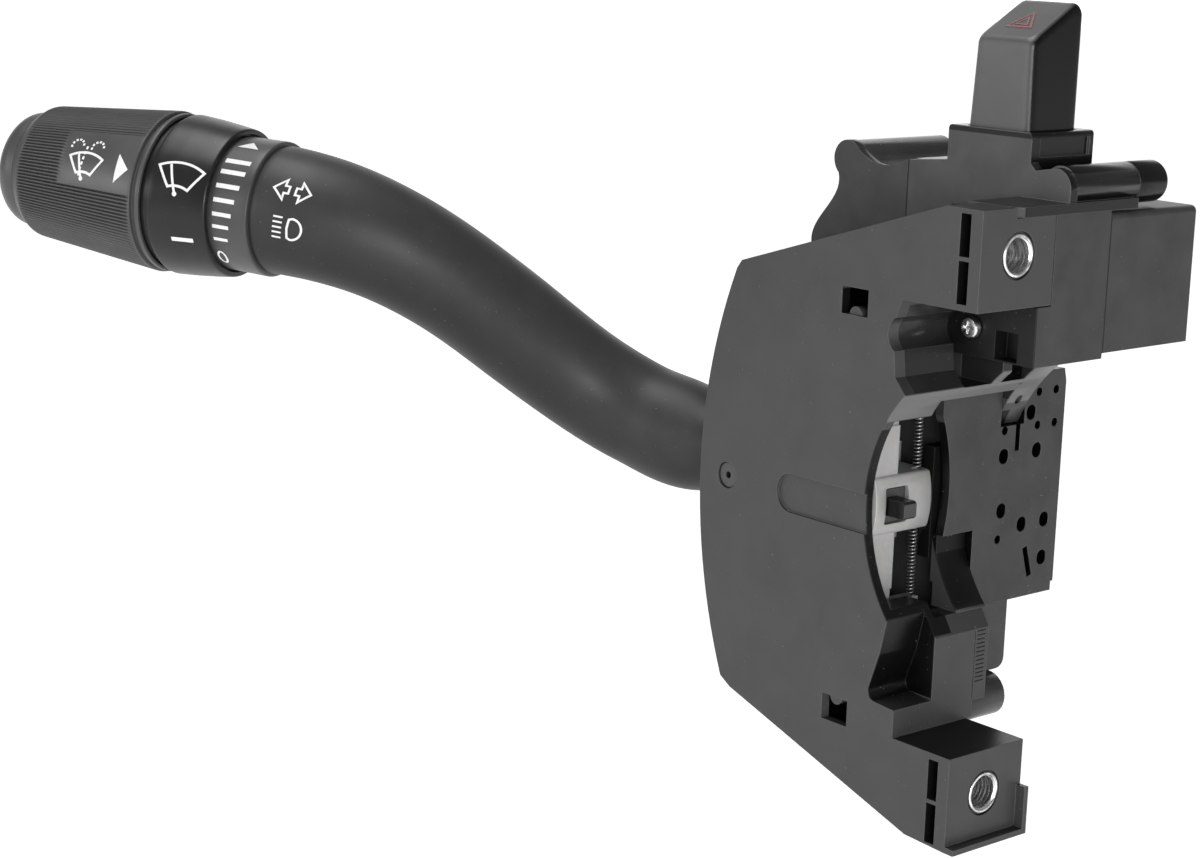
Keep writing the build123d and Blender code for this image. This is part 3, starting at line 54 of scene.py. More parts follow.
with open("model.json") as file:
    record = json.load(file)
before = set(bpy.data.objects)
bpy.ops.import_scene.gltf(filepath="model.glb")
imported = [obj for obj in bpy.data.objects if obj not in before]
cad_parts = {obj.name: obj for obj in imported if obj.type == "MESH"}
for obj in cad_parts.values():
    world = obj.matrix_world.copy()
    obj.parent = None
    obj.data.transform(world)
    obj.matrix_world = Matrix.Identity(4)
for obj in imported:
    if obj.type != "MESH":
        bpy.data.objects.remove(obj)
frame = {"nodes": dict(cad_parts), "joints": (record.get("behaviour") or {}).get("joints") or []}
CAD_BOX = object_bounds()
NODES = frame["nodes"]
MM = 0.001

# Directions of the flats that keep the full tone; flats that look other ways get painted shade
DRIVER_SIDE = (0.0, -1.0, 0.0)
COLUMN_SIDE = (1.0, 0.0, 0.0)
BACK_SIDE = (0.0, 1.0, 0.0)
SLANTED_TOP = (0.0, -0.505, 0.863)

# Cut for the steering column: x and z of its axis, and its radius with a little room
COLUMN_BORE = (9.4, 1.0, 39.05)

# Boxes of painted shade and painted light. The dark ones are painted shade in recesses, slots, pockets,
# hollows, steps and the shadowed thickness of edges, and SADDLE is painted light. Each is a box by its low
# and high corner, the share of the tone in it, its roughness, and None or the bore along Y that it keeps to
RECESS = ((-28.2, -8.7, 22.0), (-0.6, 30.0, 47.0), 0.4, 0.25, None)
SCOOP = ((-27.0, -11.6, -43.0), (-17.6, 6.0, -23.0), 0.06, 0.3, None)
BLOCK_TOP = ((-17.0, -11.7, -50.4), (-0.3, 13.0, -49.4), 0.06, 0.3, None)
ARC_EDGE = ((-31.0, -12.2, -26.0), (-20.0, 30.0, 19.0), 0.02, 0.5, COLUMN_BORE)
UPPER_SLOTS = ((-6.2, -11.85, 49.5), (-3.1, -6.7, 69.4), 0.03, 0.6, None)
LOWER_SLOTS = ((-6.2, -11.85, -71.4), (-3.1, -6.7, -51.2), 0.03, 0.6, None)
WINDOW = ((-40.4, -11.8, 39.5), (-32.5, -2.0, 48.5), 0.03, 0.6, None)
FRONT_INSIDE = ((-62.0, -9.0, -44.0), (-30.5, 28.0, 44.0), 0.05, 0.6, None)
PANEL_EDGES = ((-30.0, 8.0, -46.0), (-25.12, 51.0, 34.8), 0.03, 0.3, None)
SQUARE_HOLE = ((-11.3, 7.0, 35.2), (-4.5, 18.0, 42.0), 0.03, 0.6, None)
REAR_STEP = ((-26.0, 26.9, 26.0), (-20.0, 27.6, 36.0), 0.05, 0.5, None)
# Painted light: the saddle's faces on the column cut get 2.4 times the tone
SADDLE = ((-24.0, -12.2, 19.0), (2.0, 36.0, 42.0), 2.4, 0.35, COLUMN_BORE)
FRONT_CUTS = RECESS, SCOOP, BLOCK_TOP, ARC_EDGE, SADDLE
FRONT_LIGHT_AND_SHADE = (*FRONT_CUTS, UPPER_SLOTS, LOWER_SLOTS, WINDOW, FRONT_INSIDE, REAR_STEP)

# The knob's axis starts at the stalk's end and points to the tip. OUT looks at the driver and UP looks up
TWIST = next(joint for joint in frame["joints"] if joint["name"] == "wiper_twist")
KNOB_START = np.array(TWIST["pos_m"]) / MM
KNOB_AXIS = np.array(TWIST["axis"]) / np.linalg.norm(TWIST["axis"])
OUT = np.cross((0.0, 0.0, 1.0), KNOB_AXIS)
OUT = OUT / np.linalg.norm(OUT)
UP = np.cross(KNOB_AXIS, OUT)
UP = UP * np.sign(UP[2])

# The stalk's cubic: its root, its bend, the reach of its last handle, and its radius at stations along it
STALK_ROOT = np.array((-82.4, 3.0, 0.9))
STALK_BEND = np.array((-157.5, -1.6, 0.0))
STALK_REACH = 58.06
STALK_STATIONS = (0.0, 0.03, 0.08, 0.2, 0.35, 0.5, 0.65, 0.8, 0.92, 1.0)
STALK_RADII = (10.0, 10.7, 12.9, 13.2, 13.3, 13.6, 13.7, 14.4, 15.3, 15.8)

# Rings, collar, knob and cap: lengths along the knob's axis and radii
SCALE_LENGTH = 12.2
SCALE_RADIUS = 16.7
SCALE_TAPER = 0.2
SPINDLE_RADIUS = 6.0
COLLAR_START = 10.6
COLLAR_END = 26.2
COLLAR_STATIONS = (COLLAR_START, 14.5, 20.0, COLLAR_END)
COLLAR_RADII = (18.35, 18.9, 19.5, 19.95)
KNOB_EDGE = 28.5
RIBS_START = 30.8
RIBS_END = 66.5
TAPER_END = 66.5
KNOB_END = 69.5
KNOB_WIDE = 20.2
KNOB_NARROW = 16.7
CAP_START = 70.6
CAP_END = 78.5
CAP_RADIUS = 14.5

# Sleeves: height of their axes and radius of their bores
SLEEVE_HEIGHT = 60.0
SLEEVE_BORE = 3.7

# Slope of the hazard button's top, and radius of the wire of the long spring
BUTTON_SLOPE = np.radians(30.3)
WIRE_RADIUS = 0.2

# Height of the printed signs above the surface below them
INK_LIFT = 0.06


# Materials


def new_material(name):
    """An empty node material, its node tree, its principled shader and the object's own coordinates."""
    material = bpy.data.materials.new(name)
    material.use_nodes = True
    tree = material.node_tree
    return material, tree, tree.nodes["Principled BSDF"], node(tree, "ShaderNodeTexCoord").outputs["Object"]


def plug(tree, made, values):
    """Fills a node's inputs by name or number: a socket is linked, a value is set on the input itself."""
    for key, value in values.items():
        if isinstance(value, bpy.types.NodeSocket):
            tree.links.new(value, made.inputs[key])
        else:
            made.inputs[key].default_value = value


def node(tree, kind, **values):
    """One node of a kind, with its inputs filled by name and its properties set by attribute."""
    made = tree.nodes.new(kind)
    for key, value in values.items():
        if key in made.inputs:
            plug(tree, made, {key: value})
        else:
            setattr(made, key, value)
    return made


def noise(tree, coords, size_mm, detail=3.0, distortion=0.0):
    """Noise whose features are about size_mm across, read from the given coordinates."""
    scale = 1.0 / (size_mm * MM)
    made = node(tree, "ShaderNodeTexNoise", Vector=coords, Scale=scale, Detail=detail, Distortion=distortion)
    return made.outputs["Fac"]


def times(tone, share):
    """A share of a colour."""
    return [c * share for c in tone]


def ranged(tree, value, low_in, high_in, low_out, high_out):
    """A value carried from one range to another, clamped at both ends."""
    made = node(tree, "ShaderNodeMapRange", clamp=True)
    plug(tree, made, dict(enumerate((value, low_in, high_in, low_out, high_out))))
    return made.outputs["Result"]


def mixed(tree, factor, low, high):
    """A colour mixed between two sockets or colours by a factor socket."""
    made = node(tree, "ShaderNodeMix", data_type="RGBA", Factor=factor)
    for index, value in ((6, low), (7, high)):
        plug(tree, made, {index: value if isinstance(value, bpy.types.NodeSocket) else (*value, 1.0)})
    return made.outputs[2]


def joined(tree, operation, first, second):
    """Two masks joined by a math operation."""
    made = node(tree, "ShaderNodeMath", operation=operation)
    plug(tree, made, {0: first, 1: second})
    return made.outputs[0]


def vector_math(tree, operation, first, second=(0.0, 0.0, 0.0)):
    """Result of a vector operation between a socket and another socket or a fixed vector."""
    made = node(tree, "ShaderNodeVectorMath", operation=operation)
    plug(tree, made, {0: first, 1: second})
    return made.outputs["Value" if operation in ("DOT_PRODUCT", "LENGTH") else "Vector"]


def facing(tree, direction):
    """Cosine between the object's own normal and a direction."""
    return vector_math(tree, "DOT_PRODUCT", node(tree, "ShaderNodeTexCoord").outputs["Normal"], direction)


def edge_mask(tree, radius_mm):
    """How far the rounded normal leans from the face's own: near 1 along an edge and 0 on a flat."""
    rounded = node(tree, "ShaderNodeBevel", samples=4, Radius=radius_mm * MM).outputs["Normal"]
    flat = node(tree, "ShaderNodeNewGeometry").outputs["Normal"]
    return ranged(tree, vector_math(tree, "DOT_PRODUCT", rounded, flat), 0.995, 0.75, 0.0, 1.0), rounded


def inside(tree, coords, low, high):
    """1 inside a box in millimetres of the object's own coordinates, 0 outside, with a short ramp between."""
    ramp = 0.08
    apart = node(tree, "ShaderNodeSeparateXYZ", Vector=coords)
    share = None
    for axis in range(3):
        for limit, soft in ((low[axis], ramp), (high[axis], -ramp)):
            step = ranged(tree, apart.outputs[axis], (limit - soft) * MM, (limit + soft) * MM, 0.0, 1.0)
            share = step if share is None else joined(tree, "MULTIPLY", share, step)
    return share


def outside_faces(tree, faces):
    """0 on flats whose normal lies near one of the given directions, 1 on all others."""
    share = None
    for face in faces:
        away = ranged(tree, facing(tree, face), 0.6, 0.95, 1.0, 0.0)
        share = away if share is None else joined(tree, "MINIMUM", share, away)
    return share


def near_axis(tree, coords, x, z, radius_mm):
    """1 within a radius of an axis along Y through x and z in millimetres, 0 beyond it."""
    apart = vector_math(tree, "SUBTRACT", coords, (x * MM, 0.0, z * MM))
    reach = vector_math(tree, "LENGTH", vector_math(tree, "MULTIPLY", apart, (1.0, 0.0, 1.0)))
    return ranged(tree, reach, radius_mm * MM, (radius_mm + 0.2) * MM, 1.0, 0.0)


def tone_and_gloss_by_mask(tree, mask, look, tone, gloss):
    """Base colour and roughness that change to another tone and gloss where a mask is 1."""
    made = node(tree, "ShaderNodeMix", Factor=mask)
    plug(tree, made, {2: look[1], 3: gloss})
    return mixed(tree, mask, look[0], tone), made.outputs[0]


def surfaced(tree, shader, base, smear, height, strength, depth_mm, **rounded):
    """Links a shader's colour, its roughness and the small bumps that a height gives its normal."""
    bump = node(tree, "ShaderNodeBump", Strength=strength, Distance=depth_mm * MM, Height=height, **rounded)
    plug(tree, shader, {"Base Color": base, "Roughness": smear, "Normal": bump.outputs["Normal"]})


def moulding(
    name, tone, rough, grain_mm=0.35, depth_mm=0.012, mottle=0.18, dust=0.0, round_mm=0.3,
    faces=(), shade=0.45, patches=(), shine=0.4, below=1.0, shade_grooves=False,
):
    """Moulded black plastic: fine spark grain, cloudy gloss, paler edges as painted highlights, a little
    dust.

    Where faces are given, only the flats that look those ways keep the full tone; the rest gets painted
    shade, darker and glossier. Patches are boxes as listed above, of painted shade and painted light besides
    dark seams, and the darkest of them lose their painted edge highlights. Flats that look down get painted
    shade, the below share of the tone. Grooved pieces get painted shade where their groove attribute is 1.
    """
    material, tree, shader, coords = new_material(name)
    edge, rounded = edge_mask(tree, round_mm)
    cloud = ranged(tree, noise(tree, coords, 9.0, 4.0, 0.4), 0.3, 0.7, 0.0, 1.0)
    smear = ranged(tree, noise(tree, coords, 17.0, 5.0, 0.8), 0.3, 0.7, rough - 0.05, rough + 0.07)
    look = mixed(tree, cloud, times(tone, 1 - mottle), times(tone, 1 + mottle)), smear
    # Painted shade: flats that look away from the given faces get the shade share of the tone and more gloss
    if faces:
        look = tone_and_gloss_by_mask(tree, outside_faces(tree, faces), look, times(tone, shade), 0.22)
    # Painted shade on flats that look down
    if below < 1.0:
        under = ranged(tree, facing(tree, (0.0, 0.0, -1.0)), -0.2, 0.95, 0.0, 1.0)
        look = tone_and_gloss_by_mask(tree, under, look, times(tone, below), rough)
    # Painted shade and painted light in boxes, besides dark seams; the darkest boxes drop the painted edge
    # highlight
    for low, high, share, gloss, bore in patches:
        mask = inside(tree, coords, low, high)
        if bore is not None:
            mask = joined(tree, "MULTIPLY", mask, near_axis(tree, coords, *bore))
        look = tone_and_gloss_by_mask(tree, mask, look, times(tone, share), gloss)
        if share < 0.1:
            edge = joined(tree, "MULTIPLY", edge, ranged(tree, mask, 0.0, 1.0, 1.0, 0.2))
    # Painted shade in the grooves
    if shade_grooves:
        groove = node(tree, "ShaderNodeAttribute", attribute_name="groove").outputs["Fac"]
        look = tone_and_gloss_by_mask(tree, groove, look, times(tone, 0.3), 0.55)
    base, smear = look
    shader.inputs["Specular IOR Level"].default_value = shine
    # Painted highlight: edges are mixed towards a paler tone
    base = mixed(tree, ranged(tree, edge, 0.0, 1.0, 0.0, 0.7), base, [c * 2.6 + 0.02 for c in tone])
    if dust > 0:
        speck = ranged(tree, noise(tree, coords, 0.55, 2.0), 0.735, 0.76, 0.0, dust)
        base = mixed(tree, speck, base, (0.32, 0.32, 0.31))
    surfaced(tree, shader, base, smear, noise(tree, coords, grain_mm), 0.6, depth_mm, Normal=rounded)
    return material


def nylon(name, tone):
    """Natural nylon: milky and slightly see-through, with paler edges as painted highlights and faint flow
    marks.
    """
    material, tree, shader, coords = new_material(name)
    edge, rounded = edge_mask(tree, 0.4)
    flow = ranged(tree, noise(tree, coords, 3.5, 5.0, 1.6), 0.3, 0.7, 0.0, 1.0)
    base = mixed(tree, flow, times(tone, 0.9), tone)
    # Painted highlight: edges are mixed towards a pale tone
    base = mixed(tree, ranged(tree, edge, 0.0, 1.0, 0.0, 0.4), base, (0.86, 0.86, 0.84))
    smear = ranged(tree, flow, 0.0, 1.0, 0.36, 0.48)
    surfaced(tree, shader, base, smear, noise(tree, coords, 0.8), 0.5, 0.02, Normal=rounded)
    plug(tree, shader, {"Subsurface Weight": 0.25, "Subsurface Scale": 1.2 * MM})
    return material


def metal(name, tone, rough, stretch=(1.0, 1.0, 1.0), tarnish=0.15, bare=1.0):
    """Bare metal: fine drawn lines, a little tarnish in clouds and brighter edges as painted highlights."""
    material, tree, shader, coords = new_material(name)
    edge, rounded = edge_mask(tree, 0.15)
    drawn = node(tree, "ShaderNodeMapping", Vector=coords, Scale=stretch).outputs["Vector"]
    lines = noise(tree, drawn, 0.12, 2.0)
    cloud = ranged(tree, noise(tree, drawn, 2.5, 4.0, 0.6), 0.4, 0.6, 0.0, 1.0)
    base = mixed(tree, cloud, tone, times(tone, 1 - tarnish))
    # Painted highlight: edges are mixed towards a brighter tone
    base = mixed(tree, ranged(tree, edge, 0.0, 1.0, 0.0, 0.6), base, [min(1.0, c * 1.25) for c in tone])
    smear = ranged(tree, lines, 0.3, 0.7, rough - 0.08, rough + 0.1)
    surfaced(tree, shader, base, smear, lines, 0.35, 0.01, Normal=rounded)
    shader.inputs["Metallic"].default_value = bare
    return material


def print_ink(name, tone, fade):
    """Pad printed ink: matt, slightly uneven where the grain below takes less of it."""
    material, tree, shader, coords = new_material(name)
    patch = ranged(tree, noise(tree, coords, 0.5, 4.0), 0.3, 0.75, 0.0, 1.0)
    base = mixed(tree, patch, tone, times(tone, 1 - fade))
    surfaced(tree, shader, base, ranged(tree, patch, 0.0, 1.0, 0.55, 0.7), patch, 0.3, 0.01)
    return material


def dress(made, material, body, slot_name, *replaced):
    """Gives a piece its material, its body and the nodes that it stands for. Its slot name is not used."""
    made.data.materials.clear()
    made.data.materials.append(material)
    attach(made, body)
    if replaced:
        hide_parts(*replaced)


# Surfaces worked out as arrays


def mesh_object(name, points, faces):
    """A mesh from an array of points in millimetres and an array of quads, seams merged, faces outwards."""
    mesh = bpy.data.meshes.new(name)
    mesh.from_pydata((points * MM).tolist(), [], faces.tolist())
    shell = bmesh.new()
    shell.from_mesh(mesh)
    bmesh.ops.remove_doubles(shell, verts=shell.verts, dist=2e-7)
    bmesh.ops.dissolve_degenerate(shell, edges=shell.edges, dist=1e-7)
    bmesh.ops.recalc_face_normals(shell, faces=shell.faces)
    shell.to_mesh(mesh)
    shell.free()
    mesh.polygons.foreach_set("use_smooth", np.ones(len(mesh.polygons), bool))
    mesh.update()
    made = bpy.data.objects.new(name, mesh)
    bpy.context.scene.collection.objects.link(made)
    return made


def quads(rows, columns, around=True, base=0):
    """Corner numbers of the quads of a grid of rows by columns, closed along each row where asked."""
    i, j = np.meshgrid(np.arange(rows - 1), np.arange(columns if around else columns - 1), indexing="ij")
    k = (j + 1) % columns
    corners = (i * columns + j, i * columns + k, (i + 1) * columns + k, (i + 1) * columns + j)
    return np.stack([c.ravel() for c in corners], axis=1) + base


def sharp_by_angle(made, degrees):
    """Keeps edges sharper than an angle crisp under smooth shading."""
    with bpy.context.temp_override(object=made, active_object=made, selected_editable_objects=[made]):
        bpy.ops.object.shade_smooth_by_angle(angle=np.radians(degrees))


def grid_object(name, points):
    """A mesh from a grid of points in millimetres, closed along each row."""
    return mesh_object(name, points.reshape(-1, 3), quads(*points.shape[:2]))


def vertex_spots(mesh):
    """Every vertex of a mesh in millimetres, a row each."""
    spots = np.empty(len(mesh.vertices) * 3)
    mesh.vertices.foreach_get("co", spots)
    return spots.reshape(-1, 3) / MM


def box_mm(name):
    """Low and high corner of a node's box in millimetres."""
    return np.array(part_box(name), float) / MM


def rounded_profile(corners):
    """A polyline of (along, radius, rounding) corners with each corner replaced by an arc of its rounding.

    The arc leaves each side at rounding times the tangent of half the turn, and its points are the
    quadratic blend of those two tangent points with the corner.
    """
    corners = np.array(corners, float)
    spots, radii = corners[:, :2], corners[:, 2]
    made = [spots[:1]]
    for before, here, after, radius in zip(spots[:-2], spots[1:-1], spots[2:], radii[1:-1]):
        back, ahead = before - here, after - here
        longest = 0.45 * min(np.linalg.norm(back), np.linalg.norm(ahead))
        back, ahead = back / np.linalg.norm(back), ahead / np.linalg.norm(ahead)
        if radius <= 0:
            made.append(here[None])
            continue
        turn = np.arccos(np.clip(-back @ ahead, -1, 1))
        reach = min(radius * np.tan(turn / 2), longest)
        t = np.linspace(0, 1, 5)[:, None]
        start, end = here + back * reach, here + ahead * reach
        made.append((1 - t) ** 2 * start + 2 * t * (1 - t) * here + t**2 * end)
    made.append(spots[-1:])
    return np.concatenate(made)


def stations(points, longest):
    """Places along a polyline, counted in its runs, with no step longer than a length."""
    runs = np.linalg.norm(np.diff(points, axis=0), axis=1)
    counts = np.maximum(1, np.ceil(runs / longest)).astype(int)
    return np.concatenate([i + np.arange(n) / n for i, n in enumerate(counts)] + [[len(runs)]])


def at_stations(values, along):
    """An array of pairs, one for each corner of a polyline, interpolated at places along it."""
    index = np.arange(len(values))
    return np.stack([np.interp(along, index, values[:, axis]) for axis in (0, 1)], axis=1)


def refined(profile, longest):
    """A profile with points added so that no run is longer than a length."""
    return at_stations(profile, stations(profile, longest))


def on_knob(along, radius, angle):
    """Point at a distance along the knob's axis, a radius from it and an angle up from the driver's side."""
    along, radius, angle = np.broadcast_arrays(along, radius, angle)
    spoke = np.cos(angle)[..., None] * OUT + np.sin(angle)[..., None] * UP
    return KNOB_START + along[..., None] * KNOB_AXIS + radius[..., None] * spoke


def turned(name, profile, count=128, place=on_knob):
    """Surface of revolution: each profile point (along, radius) carried round the axis in count steps."""
    angle = np.linspace(0, 2 * np.pi, count, endpoint=False)[None, :]
    return grid_object(name, place(profile[:, :1], profile[:, 1:], angle))


def stalk_point(t, lift, angle):
    """Point on the stalk: the cubic Bezier centre at t, plus the radius there (smooth through its stations)
    and a lift, along a spoke turned by angle from the side that faces the driver."""
    t, lift, angle = np.broadcast_arrays(t, lift, angle)
    tip = KNOB_START
    hold = KNOB_START - KNOB_AXIS * STALK_REACH
    s = t[..., None]
    r = 1 - s
    centre = r**3 * STALK_ROOT + 3 * s * r**2 * STALK_BEND + 3 * s**2 * r * hold + s**3 * tip
    heading = r**2 * (STALK_BEND - STALK_ROOT) + 2 * s * r * (hold - STALK_BEND) + s**2 * (tip - hold)
    heading = heading / np.linalg.norm(heading, axis=-1, keepdims=True)
    up = np.array((0.0, 0.0, 1.0)) - heading[..., 2:] * heading
    up = up / np.linalg.norm(up, axis=-1, keepdims=True)
    out = np.cross(up, heading)
    spoke = np.cos(angle)[..., None] * out + np.sin(angle)[..., None] * up
    return centre + (stalk_radius(t) + lift)[..., None] * spoke


def stalk_radius(t):
    """Radius of the stalk at t: a cubic Hermite curve through the stations, with their mean slopes."""
    marks, radii = np.array(STALK_STATIONS), np.array(STALK_RADII)
    slopes = np.gradient(radii, marks)
    i = np.clip(np.searchsorted(marks, t, side="right") - 1, 0, len(marks) - 2)
    span = marks[i + 1] - marks[i]
    u = (t - marks[i]) / span
    start = (1 + 2 * u) * (1 - u) ** 2 * radii[i] + u * (1 - u) ** 2 * span * slopes[i]
    return start + u**2 * (3 - 2 * u) * radii[i + 1] + u**2 * (u - 1) * span * slopes[i + 1]


# Signs: flat shapes in millimetres, x along the lever towards the housing and y up, laid on a surface


def ribbon(points, width, closed=False):
    """A stroke of a width along a polyline, as a grid two points wide with mitred corners."""
    points = np.array(points, float)
    if closed:
        points = np.concatenate([points, points[:1]])
    along = stations(points, 0.5)
    path = at_stations(points, along)
    runs = np.diff(points, axis=0)
    unit = runs / np.linalg.norm(runs, axis=1, keepdims=True)
    side = np.stack([-unit[:, 1], unit[:, 0]], axis=1)
    before = np.concatenate([side[-1:] if closed else side[:1], side])
    after = np.concatenate([side, side[:1] if closed else side[-1:]])
    mitre = (before + after) / (1 + np.sum(before * after, axis=1, keepdims=True))
    straight = side[np.clip(along.astype(int), 0, len(side) - 1)]
    corner = np.isclose(along, np.round(along))[:, None]
    offset = np.where(corner, at_stations(mitre, along), straight)
    return np.stack([path - offset * width / 2, path + offset * width / 2], axis=1)


def filled(left, right, steps=8):
    """The area between two edges with the same number of points, as a grid of steps across."""
    left, right = np.array(left, float), np.array(right, float)
    t = np.linspace(0, 1, steps)[None, :, None]
    return left[:, None] * (1 - t) + right[:, None] * t


def edge_line(start, end):
    """Evenly spaced points from start to end."""
    return np.linspace(start, end, 8)


def bar(left, right, low, high):
    """A filled rectangle between two x and two y."""
    return filled(edge_line((left, low), (right, low)), edge_line((left, high), (right, high)))


def disc(centre, radius):
    """A small round spot as a grid from its centre out."""
    angle = np.linspace(0, 2 * np.pi, 17)
    rim = np.stack([np.cos(angle), np.sin(angle)], axis=1) * radius + centre
    return filled(np.broadcast_to(centre, rim.shape), rim, 3)


def arc(centre, radius, start, end, count=12):
    """Points of an arc, with its angles in degrees."""
    angle = np.radians(np.linspace(start, end, count))
    return np.stack([np.cos(angle), np.sin(angle)], axis=1) * radius + centre


def laid(name, grids, place):
    """Flat grids laid on a surface as one thin sheet: place(x, y, lift) gives each point."""
    points, faces, base = [], [], 0
    for grid in grids:
        rows, columns = grid.shape[:2]
        front = place(grid[..., 0], grid[..., 1], INK_LIFT).reshape(-1, 3)
        points.append(front)
        faces.append(quads(rows, columns, around=False, base=base))
        base += len(front)
    return mesh_object(name, np.concatenate(points), np.concatenate(faces))


def on_barrel(middle, angle, radius):
    """Placing of a sign on the ring, collar or knob: x runs back along the axis and y up round it."""

    def place(x, y, lift):
        along = middle - x
        size = radius(along)
        return on_knob(along, size + lift, np.radians(angle) + y / size)

    return place


def on_stalk(middle, angle):
    """Placing of a sign on the stalk near its end, x in millimetres back from the end."""
    length_per_t = 3 * STALK_REACH

    def place(x, y, lift):
        t = 1.0 - (middle + x) / length_per_t
        return stalk_point(t, lift, np.radians(angle) + y / stalk_radius(t))

    return place


def screen_outline(scale):
    """Outline of a windscreen: two arcs about a point below it, joined by straight sides."""
    top = arc((0.4, -10.6), 14.4, 118, 60, 14)
    low = arc((0.4, -10.6), 7.6, 64, 112, 8)
    return np.concatenate([top, low]) * scale


def wiper_sign(scale, line):
    """Windscreen with a wiper: outline, arm and pivot."""
    grids = [ribbon(screen_outline(scale), line, closed=True)]
    pivot = np.array((0.0, -5.3)) * scale
    grids.append(ribbon([pivot, np.array((-2.9, 2.9)) * scale], line))
    grids.append(disc(pivot, line * 0.95))
    return grids


# Settings


class StalkSettings(bpy.types.PropertyGroup):
    """Sizes of the lever's pieces."""

    rib_count: bpy.props.IntProperty(name="Knob ribs", description="Ribs round the knob", default=132, min=24)
    rib_depth: bpy.props.FloatProperty(
        name="Rib depth", description="Depth of the grooves", default=0.55 * MM, subtype="DISTANCE"
    )
    line_width: bpy.props.FloatProperty(
        name="Sign line", description="Width of a printed line", default=0.62 * MM, subtype="DISTANCE"
    )
    coil_pitch: bpy.props.FloatProperty(
        name="Coil pitch", description="Rise of one turn of the long spring",
        default=0.85 * MM, subtype="DISTANCE",
    )


class FinishSettings(bpy.types.PropertyGroup):
    """Colours of the finishes."""

    black: bpy.props.FloatVectorProperty(
        name="Black moulding", description="Colour of the housings",
        default=(0.0455, 0.0455, 0.0465), subtype="COLOR",
    )
    knob: bpy.props.FloatVectorProperty(
        name="Knob black", description="Colour of the knob and collar",
        default=(0.03, 0.03, 0.031), subtype="COLOR",
    )
    nylon: bpy.props.FloatVectorProperty(
        name="Natural nylon", description="Colour of the carrier",
        default=(0.31, 0.31, 0.305), subtype="COLOR",
    )
    ink: bpy.props.FloatVectorProperty(
        name="White ink", description="Colour of the printed signs", default=(0.7, 0.7, 0.7), subtype="COLOR"
    )
    warning: bpy.props.FloatVectorProperty(
        name="Red ink", description="Colour of the hazard sign", default=(0.25, 0.095, 0.1), subtype="COLOR"
    )


class StageSettings(bpy.types.PropertyGroup):
    """Studio values."""

    floor_drop: bpy.props.FloatProperty(
        name="Floor drop", description="Gap below the switch, which hangs by its mount",
        default=0.16, subtype="DISTANCE",
    )
    key_power: bpy.props.FloatProperty(
        name="Key light", description="Power of the overhead light", default=7.0
    )
    fill_power: bpy.props.FloatProperty(
        name="Fill light", description="Power of the side lights", default=7.0
    )
    room: bpy.props.FloatProperty(
        name="Room light", description="Strength of the even room light", default=0.25
    )
    floor_glow: bpy.props.FloatProperty(
        name="Floor glow", description="Light of the lit paper far behind", default=0.75
    )
    backdrop: bpy.props.FloatProperty(
        name="Backdrop", description="Strength of the white wall behind", default=1.5
    )


# Operators


